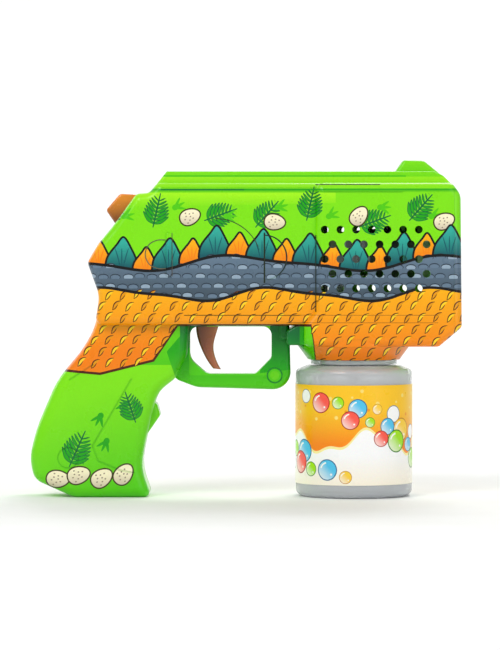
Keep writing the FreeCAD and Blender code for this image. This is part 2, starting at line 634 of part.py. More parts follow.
def make_motor():
    x0, x1 = MOTOR_X
    flat = block(x0 - 5, x1 + 5, -7.7, 7.7, Z_AXIS - 20, Z_AXIS + 20)
    can = rod_x(x0 + 3, x1, MOTOR_R).common(flat)
    can = can.fuse(rod_x(x1, x1 + 1.4, 3.0))
    cap = rod_x(x0, x0 + 3, MOTOR_R).common(flat).fuse(rod_x(x0 - 1.2, x0, 3.0))
    bore = rod_x(x0 - 5, x1 + 5, SHAFT_R + RUN)
    cap = cap.cut([bore] + [block(x0 + 0.4, x0 + 1.8, y - 1.6, y + 1.6, Z_AXIS + 5, Z_AXIS + 12) for y in (-4, 4)])
    tabs = [block(x0 + 0.9, x0 + 1.4, y - 1.2, y + 1.2, Z_AXIS + 5.4, Z_AXIS + 13) for y in (-4, 4)]
    return can.cut(bore), cap, Part.makeCompound(tabs)


def make_gearbox():
    """Plate behind the motor with three posts, and the plate across them that carries the pump."""
    side = LEVER_Y - 0.3
    outline = [(-side - 3, 82.0), (side, 82.0), (side, Z_AXIS - 5.8), (7.6, Z_AXIS - 5.8), (6.0, Z_AXIS + 17.5),
               (-6.0, Z_AXIS + 17.5), (-9.0, Z_AXIS + 3.0), (-side - 3, Z_AXIS)]
    posts = [(-15.0, 85.0), (side - 1.9, 84.1), (0.0, Z_AXIS + 15.3)]

    def slab(x0, x1):
        corners = [V(x0, p[0], p[1]) for p in outline]
        return Part.Face(Part.makePolygon(corners + [corners[0]])).extrude(V(x1 - x0, 0, 0))

    back = MOTOR_X[0] - 1.3
    front_plate = slab(back - 1.4, back)
    rear_plate = slab(GEAR2_X - 2.0, GEAR2_X - 0.6)
    bores = [rod_x(0, 60, SHAFT_R + RUN), rod_x(0, 60, 1.55, PUMP_Y, PUMP_Z)]
    bores[0] = rod_x(0, back + 1, SHAFT_R + 0.3)
    axle = rod_x(GEAR2_X - 3, back + 1, 1.0, COMPOUND_Y, COMPOUND_Z)
    frame = union([front_plate] + [rod_x(GEAR2_X - 0.6, back - 1, 1.8, y, z) for y, z in posts])
    screws = [rod_x(GEAR2_X - 2.8, GEAR2_X - 2.0, 1.7, y, z) for y, z in posts]
    return (frame.cut(bores + [axle]), rear_plate.cut(bores + [axle]),
            rod_x(GEAR2_X - 2.0, back, 1.0, COMPOUND_Y, COMPOUND_Z), Part.makeCompound(screws))


def gear_phase(from_angle, teeth_a, turn_a, teeth_b):
    """Turn of wheel b so that a gap faces the tooth of wheel a on the line of centres."""
    share = ((from_angle - turn_a) / (2 * math.pi / teeth_a)) % 1.0
    facing = from_angle + math.pi
    return facing - (0.5 - share) * 2 * math.pi / teeth_b


def make_gears():
    to_compound = math.atan2(COMPOUND_Z - Z_AXIS, COMPOUND_Y)
    turn_big = gear_phase(to_compound, TEETH_PINION, 0.0, TEETH_BIG)
    to_pump = math.atan2(PUMP_Z - COMPOUND_Z, PUMP_Y - COMPOUND_Y)
    turn_pump = gear_phase(to_pump, TEETH_SMALL, 0.0, TEETH_PUMP)
    pinion = gear(TEETH_PINION, GEAR1_X, GEAR1_X + GEAR_T, 0, Z_AXIS, 0.0, SHAFT_R)
    big = gear(TEETH_BIG, GEAR1_X, GEAR1_X + GEAR_T - 0.5, COMPOUND_Y, COMPOUND_Z, turn_big, 1.0 + RUN)
    small = gear(TEETH_SMALL, GEAR2_X, GEAR1_X, COMPOUND_Y, COMPOUND_Z, 0.0, 1.0 + RUN)
    pump_wheel = gear(TEETH_PUMP, GEAR2_X, GEAR2_X + GEAR_T - 0.4, PUMP_Y, PUMP_Z, turn_pump, 1.5)
    shaft = rod_x(GEAR2_X + 0.5, FAN_X[1] - 0.5, SHAFT_R)
    return pinion, big.fuse(small), pump_wheel, shaft


# ---------------------------------------------------------------- pump
def pump_prism(r, top, x0, x1):
    """U shape about the pump axis: half round below, straight walls up to top."""
    round_part = rod_x(x0, x1, r, PUMP_Y, PUMP_Z)
    return round_part.fuse(block(x0, x1, PUMP_Y - r, PUMP_Y + r, PUMP_Z, top))


def make_pump():
    x0, x1 = PUMP_X - 3.6, GEAR2_X - 2.0
    top = PUMP_Z + 9.5
    body = pump_prism(PUMP_BODY_R, top, x0 - 1.4, x1).cut(pump_prism(TRACK_WALL_R, top + 5, x0, x1 + 1))
    body = body.cut(rod_x(x0 - 3, x1, 1.5 + RUN, PUMP_Y, PUMP_Z))
    discs = [rod_x(x0 + 0.3, x0 + 1.3, 6.4, PUMP_Y, PUMP_Z), rod_x(x1 - 1.4, x1 - 0.4, 6.4, PUMP_Y, PUMP_Z)]
    shaft = rod_x(x0 - 1.2, GEAR2_X + GEAR_T - 0.2, 1.5, PUMP_Y, PUMP_Z)
    pins, rollers = [], []
    for k in range(ROLLERS):
        angle = math.radians(90 + 360 / ROLLERS * k)
        y = PUMP_Y + ROLLER_ORBIT * math.cos(angle)
        z = PUMP_Z + ROLLER_ORBIT * math.sin(angle)
        pins.append(rod_x(x0 + 0.5, x1 - 0.6, 0.7, y, z))
        rollers.append(tube_x(x0 + 1.5, x1 - 1.6, ROLLER_R, 0.7 + RUN, y, z))
    return body, union(discs + [shaft] + pins), rollers


def make_pump_tube():
    """Soft tube: up from the bottle socket, down round the pump's track and forward to the nozzle ear."""
    side = NIPPLE[1]
    high = Z_AXIS - 3.0
    points = [V(NIPPLE[0], side, NIPPLE_Z), V(NIPPLE[0], side, high), V(PUMP_X, PUMP_Y + TRACK_R, high),
              V(PUMP_X, PUMP_Y + TRACK_R, PUMP_Z - TRACK_R), V(PUMP_X, PUMP_Y - TRACK_R, PUMP_Z - TRACK_R),
              V(PUMP_X, PUMP_Y - TRACK_R, Z_AXIS + 1), V(PUMP_X + 8, TUBE_OUT[0], TUBE_OUT[1]),
              V(NOZZLE_X - 4.2, TUBE_OUT[0], TUBE_OUT[1])]
    radii = [5.0, 5.0, TRACK_R - 0.02, TRACK_R - 0.02, 5.0, 5.0]
    return swept(points, radii, TUBE_R, TUBE_BORE)


# ---------------------------------------------------------------- bottle and its socket
NIPPLE = (X_BOTTLE - 5.9, 12.0)
SOCKET_TOP = NECK_TOP + 3.2
NIPPLE_Z = SOCKET_TOP + 4.0


def make_socket():
    """Cap-like collar that the bottle's neck screws into, with a nipple and a drain hole."""
    body = rod_z(Z_COLLAR + 0.2, SOCKET_TOP, SOCKET_R).fuse(
        rod_z(Z_HEAD + WALL + 0.1, Z_HEAD + WALL + 2.1, SOCKET_R + 2.6))
    body = body.cut(rod_z(Z_COLLAR - 1, NECK_TOP + 1.5, COLLAR_R))
    x, y = NIPPLE
    body = body.fuse([rod_z(SOCKET_TOP - 1, SOCKET_TOP + 3.5, TUBE_BORE - 0.1, x, y),
                      rod_z(NECK_TOP - 1.0, SOCKET_TOP, 1.6, X_BOTTLE, 0)])
    drain = [rod_z(NECK_TOP - 2, SOCKET_TOP + 1, 3.0, X_BOTTLE + 8.0, 0)]
    feed = rod_z(NECK_TOP - 2, SOCKET_TOP - 0.9, 0.8, X_BOTTLE, 0)
    return body.cut(drain + [feed])


def make_gasket():
    return rod_z(NECK_TOP + 0.1, NECK_TOP + 1.5, COLLAR_R - FIT).cut(rod_z(NECK_TOP, NECK_TOP + 2, NECK_R - 2.0))


def make_dip_tube():
    z1 = NECK_TOP - 0.2
    return rod_z(4.0, z1, 2.6).cut([rod_z(3.0, z1 + 1, 1.6 + RUN)]).fuse(
        rod_z(4.0, 4.8, 2.6).cut(rod_z(3, 6, 1.0)))


def make_bottle():
    """Blown bottle with a helical neck thread and a bead above its shoulder."""
    r, w = BOTTLE_R, BOTTLE_WALL
    profile = [(0, 1.2), (r - 9, 1.2, 3), (r - 7, 0), (r, 0, 3.6), (r, BOTTLE_Z, 2.2), (r - 5.5, SHOULDER_Z, 3),
               (NECK_R + 1.5, SHOULDER_Z + 0.1), (NECK_R + 1.5, SHOULDER_Z + 0.5), (SOCKET_R + 1.0, SHOULDER_Z + 0.6),
               (SOCKET_R + 1.0, SHOULDER_Z + 2.4), (NECK_R, SHOULDER_Z + 2.6), (NECK_R, NECK_TOP),
               (NECK_R - w, NECK_TOP), (NECK_R - w, SHOULDER_Z - w), (r - 6.5, SHOULDER_Z - w, 3),
               (r - w, BOTTLE_Z - w, 3), (r - w, w, 3), (r - 7, w), (r - 9.5, w + 1.2), (0, w + 1.2)]
    body = spun(profile, X_BOTTLE, 0)
    start = SHOULDER_Z + 4.2
    turns = (NECK_TOP - 1.8 - start) / THREAD_PITCH
    helix = Part.makeHelix(THREAD_PITCH, THREAD_PITCH * turns, NECK_R - 0.3)
    ridge = Part.makePolygon([V(NECK_R - 0.3, 0, -1.0), V(NECK_R + THREAD, 0, -0.35),
                              V(NECK_R + THREAD, 0, 0.35), V(NECK_R - 0.3, 0, 1.0), V(NECK_R - 0.3, 0, -1.0)])
    thread = Part.Wire(helix.Edges).makePipeShell([ridge], True, True)
    thread.translate(V(X_BOTTLE, 0, start))
    joined = body.fuse(thread)
    return joined


def make_label():
    return rod_z(LABEL_Z[0], LABEL_Z[1], BOTTLE_R + LABEL_T).cut(rod_z(0, 60, BOTTLE_R))


def make_chute():
    """Sloping tray under the nozzle that drains back into the bottle."""
    floor = [(91.0, 88.2), (91.0, 89.7), (X_BOTTLE + 5, SOCKET_TOP + 2.0), (X_BOTTLE + 5, SOCKET_TOP + 0.4),
             (X_BOTTLE + 12, SOCKET_TOP + 0.4)]
    wall = [(91.0, 88.2), (91.0, 94.2), (X_BOTTLE + 5, SOCKET_TOP + 6.0), (X_BOTTLE + 5, SOCKET_TOP + 0.4),
            (X_BOTTLE + 12, SOCKET_TOP + 0.4)]
    tray = union([plate(floor, -12.5, 12.5), plate(wall, 11.5, 12.8), plate(wall, -12.8, -11.5)])
    return tray.cut(rod_z(SOCKET_TOP - 1, SOCKET_TOP + 5, 2.6, X_BOTTLE + 8.0, 0))


# ---------------------------------------------------------------- trigger and wiper
def make_trigger():
    """Hooked trigger with its stem and the hub that turns on the pin."""
    back = [V(-22.2, 0, 82), V(-22.5, 0, 73), V(-20.6, 0, 67.2), V(-18.6, 0, 63.0), V(-15.2, 0, 58.0)]
    front = [V(-11.6, 0, 57.6), V(-14.0, 0, 62.5), V(-15.0, 0, 67.5), V(-13.7, 0, 74.0), V(-11.8, 0, 82)]
    curve_b, curve_f = Part.BSplineCurve(), Part.BSplineCurve()
    curve_b.interpolate(back)
    curve_f.interpolate(front)
    outline = Part.Wire([curve_b.toShape(), Part.LineSegment(back[-1], front[0]).toShape(), curve_f.toShape(),
                         Part.LineSegment(front[-1], back[0]).toShape()])
    hook = Part.Face(outline).extrude(V(0, 2 * TRIGGER_HALF, 0))
    hook.translate(V(0, -TRIGGER_HALF, 0))
    rims = [e for e in hook.Edges if all(abs(abs(v.Point.y) - TRIGGER_HALF) < 1e-6 for v in e.Vertexes)
            and e.Length > 12]
    hook = hook.makeFillet(1.3, rims)
    stem = plate([(-22.2, 81.9), (-11.8, 81.9), (-12.8, Z_AXIS), (-19.4, Z_AXIS), (-19.4, 100), (-22.2, 92)],
                 -TRIGGER_HALF + 0.8, TRIGGER_HALF - 0.8)
    hub = rod_y(-TRIGGER_HALF, LEVER_Y, 4.2, PIVOT_X, Z_AXIS)
    return union([hook, stem, hub]).cut(rod_y(-20, 25, PIN_R + RUN, PIVOT_X, Z_AXIS))


def make_lever():
    """Long arm from the trigger's hub to the bar in front of the nozzle, and its soft blade."""
    tip_x = BLADE_X + BLADE_T + 1.5
    arm = plate([(PIVOT_X - 5, Z_AXIS - 4.5, 4), (PIVOT_X + 6, Z_AXIS - 4.5), (tip_x, Z_AXIS - 1.4),
                 (tip_x, Z_AXIS + 1.4), (PIVOT_X + 6, Z_AXIS + 4.5), (PIVOT_X - 5, Z_AXIS + 4.5, 4)],
                LEVER_Y, LEVER_Y + LEVER_T)
    bar = block(tip_x - 1.5, tip_x, -NOZZLE_R, LEVER_Y + 0.5, Z_AXIS - 1.2, Z_AXIS + 1.2)
    blade = block(BLADE_X, BLADE_X + BLADE_T, -NOZZLE_R, NOZZLE_R - 0.6, Z_AXIS - 0.6, Z_AXIS + 0.6)
    lever = arm.fuse(bar).cut(rod_y(0, 40, PIN_R + RUN, PIVOT_X, Z_AXIS))
    for piece in (lever, blade):
        piece.rotate(V(PIVOT_X, 0, Z_AXIS), V(0, 1, 0), -PULL / 2)
    return lever, blade


def make_switch():
    base = block(-33.5, -20.9, -2.2, 2.2, 104.0, 106.2).common(block(-33.5, -27.5, -5, 5, 100, 110)).fuse(
        block(-33.5, -27.5, -INNER + 0.1, 2.2, 100.5, 106.2))
    still = block(-27.4, -27.1, -2, 2, 93.0, 106.0).fuse(rod_x(-27.1, -26.5, 0.8, 0, 94.5))
    moving = block(-24.6, -24.3, -2, 2, 93.0, 106.3).fuse(
        [block(-27.4, -24.3, -2, 2, 106.3, 106.6), block(-27.4, -27.1, -2, 2, 106.3, 107.6)])
    leaves = Part.makeCompound([still, moving])
    return base, leaves


# ---------------------------------------------------------------- battery compartment
def make_battery_parts():
    inside = cavity(grip_outline(), GRIP_HALF, WALL + 0.25)
    floor_y = TRAY_Y + 1.3
    s1 = CELL_L + 5.0
    tray = union([grip_box(-8.0, CELL_PITCH + 8.0, -8, s1 + 1.3, TRAY_Y, floor_y),
                  grip_box(-5.5, CELL_PITCH + 6.5, -6.4, -5.2, floor_y - 1, CELL_Y + 6),
                  grip_box(-6.5, CELL_PITCH + 6.5, s1, s1 + 1.2, floor_y - 1, CELL_Y + 6),
                  grip_box(CELL_PITCH + 7.55, CELL_PITCH + 8.75, -6.4, s1 + 1.2, floor_y - 1, CELL_Y + 6)])
    base, up, front = grip_axes()
    cells = []
    for w, way in ((0.0, 1), (CELL_PITCH, -1)):
        low = 0.2 if way > 0 else 4.2
        start = base + front * w + up * low + V(0, CELL_Y, 0)
        length = CELL_L - 1.2
        body = Part.makeCylinder(CELL_R, length, start + up * (0.0 if way > 0 else 1.2), up)
        nub = Part.makeCylinder(2.7, 1.4, start + up * (length - 0.2 if way > 0 else 0.0), up)
        cells.append(body.fuse(nub))
    spring_low = coil(3.2, 0.35, 1.5, 2.6, base + up * -4.4 + V(0, CELL_Y, 0), up)
    bridge = Part.makeCompound([grip_box(-4.5, CELL_PITCH + 4.5, -5.15, -4.85, CELL_Y - 5, CELL_Y + 5),
                                spring_low])
    plus = grip_box(-4.5, 4.5, s1 - 0.35, s1 - 0.05, CELL_Y - 5, CELL_Y + 3).fuse(
        Part.makeCylinder(2.0, s1 - CELL_L - 0.8, base + up * (CELL_L + 0.55) + V(0, CELL_Y, 0), up))
    minus = grip_box(CELL_PITCH - 4.5, CELL_PITCH + 4.5, s1 - 0.35, s1 - 0.05, CELL_Y - 5, CELL_Y + 3)
    contacts = Part.makeCompound([plus, minus])
    w0, w1, low_s, high_s, low_y = DOOR_TOWER
    tray = tray.cut(grip_box(w0 - 0.4, w1 + 0.4, low_s - 0.4, high_s, low_y - 0.4, 20))
    return tray.common(inside), cells, bridge, contacts


def make_door():
    door = door_form(0, GRIP_HALF - DOOR_T + 0.05, GRIP_HALF)
    x, z = grip_point(*DOOR_SCREW)
    ribs = [grip_box(DOOR_W[0] + 5, DOOR_W[1] - 5, s, s + 1.2, GRIP_HALF - 0.5, GRIP_HALF + 0.6)
            for s in (4.0, 7.0, 10.0)]
    door = union([door] + ribs)
    door = door.cut([rod_y(0, 30, SCREW_R + 0.3, x, z), rod_y(GRIP_HALF - 0.9, 30, SCREW_HEAD_R + 0.4, x, z)])
    seat = GRIP_HALF - 0.9
    head = rod_y(seat, seat + 1.5, SCREW_HEAD_R, x, z).cut(cross_slot(x, z, seat + 1.5, 1))
    return door, head.fuse(rod_y(seat - 5.6, seat, SCREW_R, x, z))


def make_wires():
    x1, z1 = grip_point(0.0, CELL_L + 6.6)
    x2, z2 = grip_point(CELL_PITCH, CELL_L + 6.6)
    tab = MOTOR_X[0] + 1.15
    red = [V(x1, 2, z1), V(-60, -8, 84), V(-46, -14, 104), V(-36, -12, 118), V(0, -14, 130), V(30, -10, 131),
           V(tab, -4, 129), V(tab, -4, Z_AXIS + 13.2)]
    black = [V(x2, 2, z2), V(-50, 6, 82), V(-50, 10, 104), V(-38, 10, 124), V(0, 8, 131), V(30, 7, 131),
             V(tab, 4, 129), V(tab, 4, Z_AXIS + 13.2)]
    return swept(red, 3.0, 0.7), swept(black, 3.0, 0.7)


# ---------------------------------------------------------------- everything
def build():
    right, left, front = make_shells()
    parts = {"right_shell": right, "left_shell": left, "muzzle_bezel": make_bezel(front)}
    parts["hammer"] = pillow(hammer_outline(), 5.0, 1.0)
    parts["body_screws"] = make_screws()
    parts["air_nozzle"] = make_air_nozzle()
    parts["fan_housing"] = make_fan_housing()
    parts["fan_impeller"] = make_fan()
    parts["motor_can"], parts["motor_end_cap"], parts["motor_terminals"] = make_motor()
    frame, plate_rear, axle, screws = make_gearbox()
    parts["gearbox_frame"], parts["gearbox_plate"] = frame, plate_rear
    parts["compound_axle"], parts["gearbox_screws"] = axle, screws
    pinion, compound, pump_wheel, shaft = make_gears()
    parts["motor_pinion"], parts["compound_gear"] = pinion, compound
    parts["pump_gear"], parts["motor_shaft"] = pump_wheel, shaft
    body, rotor, rollers = make_pump()
    parts["pump_body"], parts["pump_rotor"] = body, rotor
    for k, roller in enumerate(rollers):
        parts[f"pump_roller_{k + 1}"] = roller
    parts["pump_tube"] = make_pump_tube()
    parts["bottle_socket"], parts["socket_gasket"] = make_socket(), make_gasket()
    parts["dip_tube"] = make_dip_tube()
    parts["bottle"], parts["bottle_label"] = make_bottle(), make_label()
    parts["drip_chute"] = make_chute()
    parts["trigger"] = make_trigger()
    parts["wiper_lever"], parts["wiper_blade"] = make_lever()
    parts["trigger_pin"] = rod_y(-INNER + 2.0, INNER - 0.5, PIN_R, PIVOT_X, Z_AXIS)
    parts["trigger_spring"] = coil(2.4, 0.3, 1.5, 5.75, V(-31.4, 0, 86), V(1, 0, 0))
    parts["switch_base"], parts["switch_leaves"] = make_switch()
    tray, cells, bridge, contacts = make_battery_parts()
    parts["battery_tray"], parts["battery_bridge"], parts["battery_contacts"] = tray, bridge, contacts
    parts["battery_1"], parts["battery_2"] = cells
    parts["battery_door"], parts["door_screw"] = make_door()
    parts["wire_red"], parts["wire_black"] = make_wires()
    return parts


def main():
    os.makedirs("parts", exist_ok=True)
    for name, shape in build().items():
        shape.exportStep(f"parts/{name}.step")
        print(f"{name:18s} solids {len(shape.Solids)} volume {shape.Volume:9.1f} valid {shape.isValid()}")


main()
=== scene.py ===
# %% [markdown]
# # A bubble gun with a printed skin
# The toy is a hollow moulded shell in bright lime plastic. Its two sides carry a picture, printed on the flat
# cheeks and round their soft edges, and a bottle of soap solution screws in under the muzzle. The CAD frame
# already holds every working piece, so this script gives each one its finish and draws the printed picture.

import math

import bpy
import numpy as np
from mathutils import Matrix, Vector
from mathutils.bvhtree import BVHTree
from mathutils.geometry import delaunay_2d_cdt


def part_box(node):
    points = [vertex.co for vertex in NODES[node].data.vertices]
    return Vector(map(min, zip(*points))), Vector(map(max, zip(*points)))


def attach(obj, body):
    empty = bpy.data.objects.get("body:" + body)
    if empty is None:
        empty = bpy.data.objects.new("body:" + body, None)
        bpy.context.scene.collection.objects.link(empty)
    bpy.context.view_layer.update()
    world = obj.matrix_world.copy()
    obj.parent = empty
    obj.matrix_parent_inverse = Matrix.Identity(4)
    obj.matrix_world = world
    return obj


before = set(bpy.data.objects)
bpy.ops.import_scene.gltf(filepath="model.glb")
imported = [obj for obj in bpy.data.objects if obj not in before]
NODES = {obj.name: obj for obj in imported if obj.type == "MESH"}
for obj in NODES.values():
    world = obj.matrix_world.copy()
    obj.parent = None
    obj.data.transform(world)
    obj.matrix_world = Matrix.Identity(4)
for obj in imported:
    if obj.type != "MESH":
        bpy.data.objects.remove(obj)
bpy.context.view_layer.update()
MM = 0.001
rng = np.random.default_rng(7)

# %% [markdown]
# Colours are chosen as they look on screen and turned into the linear values that shaders add and multiply.
# The formula is the usual screen curve: a straight line near black and a power of 2.4 above it.


# %% Colours
def linear(code):
    """Three linear numbers from a hex colour: each channel c is c / 12.92, or ((c + 0.055) / 1.055) ** 2.4."""
    c = np.array([int(code[i:i + 2], 16) for i in (1, 3, 5)]) / 255
    return np.where(c <= 0.04045, c / 12.92, ((c + 0.055) / 1.055) ** 2.4)


LIME, LIME_LIGHT = "#80e600", "#a6f612"
LIME_DEEP, GREEN, GREEN_DEEP = "#50cc00", "#1ea808", "#046c34"
CREAM, TAN, TAN_DARK = "#fff6cf", "#cbbca6", "#94846e"
TEAL_LIGHT, TEAL_DARK = "#2fae9c", "#04545e"
SLATE, SLATE_LIGHT, SLATE_DARK, SLATE_DEEP = "#647a8e", "#93a8ba", "#42525f", "#26323f"
ORANGE, ORANGE_DEEP, AMBER, YELLOW = "#ffb300", "#f88200", "#e89a00", "#ffd320"
BROWN = "#8a5606"
INK, INK_BROWN, INK_OLIVE = "#040506", "#4e1a02", "#3e380c"
WHITE = "#fffdf6"
print("lime in linear light:", linear(LIME).round(3))

# %% [markdown]
# ## The stage
# A pale sweep: a floor that curves up into a wall, so no horizon shows behind the toy. It could be a plane, but
# a plane ends in a line. The sweep is one profile, a floor, a quarter circle and a wall, carried sideways.


# %% Floor and backdrop
def sweep_profile(depth, radius, height, steps=24):
    """Points (y, z): flat from the front to depth, then a quarter circle of that radius, then up to height."""
    angle = np.linspace(0, np.pi / 2, steps)
    arc = np.stack([depth + radius * np.sin(angle), radius * (1 - np.cos(angle))], 1)
    return np.concatenate([[[-1.6, 0.0]], arc, [[depth + radius, height]]])


def make_mesh(name, points, faces, smooth=True):
    """Object at the origin from an array of points and an array of faces."""
    mesh = bpy.data.meshes.new(name)
    mesh.from_pydata([tuple(p) for p in points], [], [tuple(int(i) for i in f) for f in faces])
    mesh.shade_smooth() if smooth else mesh.shade_flat()
    mesh.update()
    obj = bpy.data.objects.new(name, mesh)
    bpy.context.scene.collection.objects.link(obj)
    return obj


def grid_faces(rows, columns, closed=False):
    """Four-sided faces of a grid of points stored row by row; closed joins the last column to the first."""
    r, c = np.meshgrid(np.arange(rows - 1), np.arange(columns if closed else columns - 1), indexing="ij")
    right = (c + 1) % columns
    return np.stack([r * columns + c, r * columns + right, (r + 1) * columns + right, (r + 1) * columns + c],
                    -1).reshape(-1, 4)


profile = sweep_profile(0.35, 0.5, 2.4)
sides = np.linspace(-2.5, 2.5, 3)
floor_points = [(x, y, z) for y, z in profile for x in sides]
floor = make_mesh("floor", np.array(floor_points), grid_faces(len(profile), len(sides)))
print("floor faces:", len(floor.data.polygons))


# %% Camera and lights
def aim(obj, target):
    obj.rotation_mode = "QUATERNION"
    obj.rotation_quaternion = (Vector(target) - obj.location).to_track_quat("-Z", "Y")


def area_light(name, place, target, size, power, colour=(1, 1, 1)):
    data = bpy.data.lights.new(name, "AREA")
    data.shape, data.size, data.energy, data.color = "DISK", size, power, colour
    lamp = bpy.data.objects.new(name, data)
    bpy.context.scene.collection.objects.link(lamp)
    lamp.location = place
    aim(lamp, target)
    return lamp


FRAME_TALL = 0.2925       # height of the picture at the toy
LENS, DISTANCE_PER_LENS = 200.0, 1 / 36
centre = Vector((0.0016, 0.0, 0.0777))
camera_data = bpy.data.cameras.new("camera")
camera_data.lens, camera_data.sensor_width = LENS, 36.0
camera = bpy.data.objects.new("camera", camera_data)
bpy.context.scene.collection.objects.link(camera)
bpy.context.scene.camera = camera
reach = FRAME_TALL * LENS * DISTANCE_PER_LENS + 0.02
lift = math.radians(1.2)
camera.location = centre + Vector((0, -reach * math.cos(lift), reach * math.sin(lift)))
aim(camera, centre)
camera_data.clip_start, camera_data.clip_end = 0.05, 20

middle = (0, 0, 0.08)
area_light("key", (-0.55, -0.95, 0.95), middle, 0.7, 7.5)
area_light("fill", (0.9, -0.9, 0.45), middle, 0.9, 3.0)
area_light("rim", (0.3, 0.7, 0.9), middle, 0.6, 5)
area_light("back_fill", (-0.8, 0.8, 0.4), middle, 0.8, 4)
world = bpy.data.worlds.new("studio")
bpy.context.scene.world = world
world.use_nodes = True
world.node_tree.nodes["Background"].inputs["Color"].default_value = (0.97, 0.985, 1.0, 1)
world.node_tree.nodes["Background"].inputs["Strength"].default_value = 0.52
bpy.context.scene.view_settings.view_transform = "Standard"
print("camera is", round(reach, 3), "m away")

# %% [markdown]
# ## Finishes
# Moulded plastic is never one flat colour: the gloss breaks up over a very fine orange-peel, and the colour
# drifts a little where the flow was thick or thin. Each finish here starts from one function that adds both.


# %% A moulded plastic
def new_material(name):
    material = bpy.data.materials.new(name)
    material.use_nodes = True
    tree = material.node_tree
    return material, tree, tree.nodes["Principled BSDF"]


def add(tree, kind, **settings):
    node = tree.nodes.new(kind)
    for key, value in settings.items():
        setattr(node, key, value)
    return node


def noise(tree, scale, detail=3.0, rough=0.5):
    """Noise on the object's own coordinates, in metres: scale is about one over the size of its blobs."""
    place = add(tree, "ShaderNodeTexCoord")
    node = add(tree, "ShaderNodeTexNoise")
    tree.links.new(place.outputs["Object"], node.inputs["Vector"])
    node.inputs["Scale"].default_value = scale
    node.inputs["Detail"].default_value = detail
    node.inputs["Roughness"].default_value = rough
    return node


def spread(tree, source, low, high):
    """A number between low and high that follows a 0 to 1 value."""
    node = add(tree, "ShaderNodeMapRange")
    tree.links.new(source, node.inputs["Value"])
    node.inputs["From Min"].default_value, node.inputs["From Max"].default_value = 0.3, 0.7
    node.inputs["To Min"].default_value, node.inputs["To Max"].default_value = low, high
    return node.outputs["Result"]


def orange_peel(tree, shader, scale, depth, strength=0.25):
    """A bump of that depth in metres over blobs of that scale."""
    wave = noise(tree, scale, 2.0)
    bump = add(tree, "ShaderNodeBump")
    bump.inputs["Strength"].default_value = strength
    bump.inputs["Distance"].default_value = depth
    tree.links.new(wave.outputs["Fac"], bump.inputs["Height"])
    tree.links.new(bump.outputs["Normal"], shader.inputs["Normal"])


def tinted(tree, shader, colour, other, scale, detail=4.0):
    """Base colour that drifts between two colours over blobs of that scale."""
    drift = noise(tree, scale, detail)
    mix = add(tree, "ShaderNodeMix", data_type="RGBA")
    mix.inputs["A"].default_value = (*linear(colour), 1)
    mix.inputs["B"].default_value = (*linear(other), 1)
    tree.links.new(spread(tree, drift.outputs["Fac"], 0.0, 1.0), mix.inputs["Factor"])
    tree.links.new(mix.outputs["Result"], shader.inputs["Base Color"])


def moulded(name, colour, other, rough=(0.22, 0.34), coat=0.25, peel=700.0):
    material, tree, shader = new_material(name)
    tinted(tree, shader, colour, other, 28.0)
    gloss = noise(tree, 90.0)
    tree.links.new(spread(tree, gloss.outputs["Fac"], *rough), shader.inputs["Roughness"])
    orange_peel(tree, shader, peel, 0.00006)
    shader.inputs["Coat Weight"].default_value = coat
    shader.inputs["Coat Roughness"].default_value = 0.12
    return material


def metal(name, colour, other, rough=(0.18, 0.36), brushed=(1.0, 1.0, 1.0)):
    """Metal whose gloss runs in fine streaks: the noise is stretched along the axis with the small factor."""
    material, tree, shader = new_material(name)
    tinted(tree, shader, colour, other, 60.0)
    place = add(tree, "ShaderNodeTexCoord")
    turn = add(tree, "ShaderNodeMapping")
    turn.inputs["Scale"].default_value = brushed
    tree.links.new(place.outputs["Object"], turn.inputs["Vector"])
    streak = add(tree, "ShaderNodeTexNoise")
    streak.inputs["Scale"].default_value = 900.0
    tree.links.new(turn.outputs["Vector"], streak.inputs["Vector"])
    tree.links.new(spread(tree, streak.outputs["Fac"], *rough), shader.inputs["Roughness"])
    shader.inputs["Metallic"].default_value = 1.0
    return material


floor_finish = moulded("floor_paper", "#f4f4f2", "#f7f7f6", (0.7, 0.8), 0.0, 60.0)
floor.data.materials.append(floor_finish)
FINISH = {
    "lime": moulded("lime_plastic", "#79d806", "#86e40c"),
    "green": moulded("green_plastic", "#5fcf08", "#6fdc10"),
    "white": moulded("white_plastic", "#eceeec", "#e2e5e4"),
    "grey": moulded("grey_plastic", "#5a5d62", "#666a70", (0.35, 0.5), 0.1),
    "nylon": moulded("nylon", "#e8e2cc", "#dfd7bd", (0.4, 0.5), 0.0),
    "black": moulded("black_sleeve", "#17181b", "#202226", (0.25, 0.35), 0.2),
    "red_wire": moulded("red_insulation", "#b81410", "#c81c16", (0.35, 0.45), 0.1),
    "black_wire": moulded("black_insulation", "#101113", "#191a1d", (0.35, 0.45), 0.1),
    "rubber": moulded("soft_rubber", "#232425", "#2b2c2e", (0.55, 0.7), 0.0, 1500.0),
    "steel": metal("bright_steel", "#c4c6c9", "#b4b7bb", (0.2, 0.35)),
    "can": metal("plated_can", "#b9bcc0", "#aaaeb3", (0.22, 0.4), (1.0, 0.06, 0.06)),
    "brass": metal("brass", "#d9b45c", "#c9a24c"),
}
print("finishes:", ", ".join(FINISH))
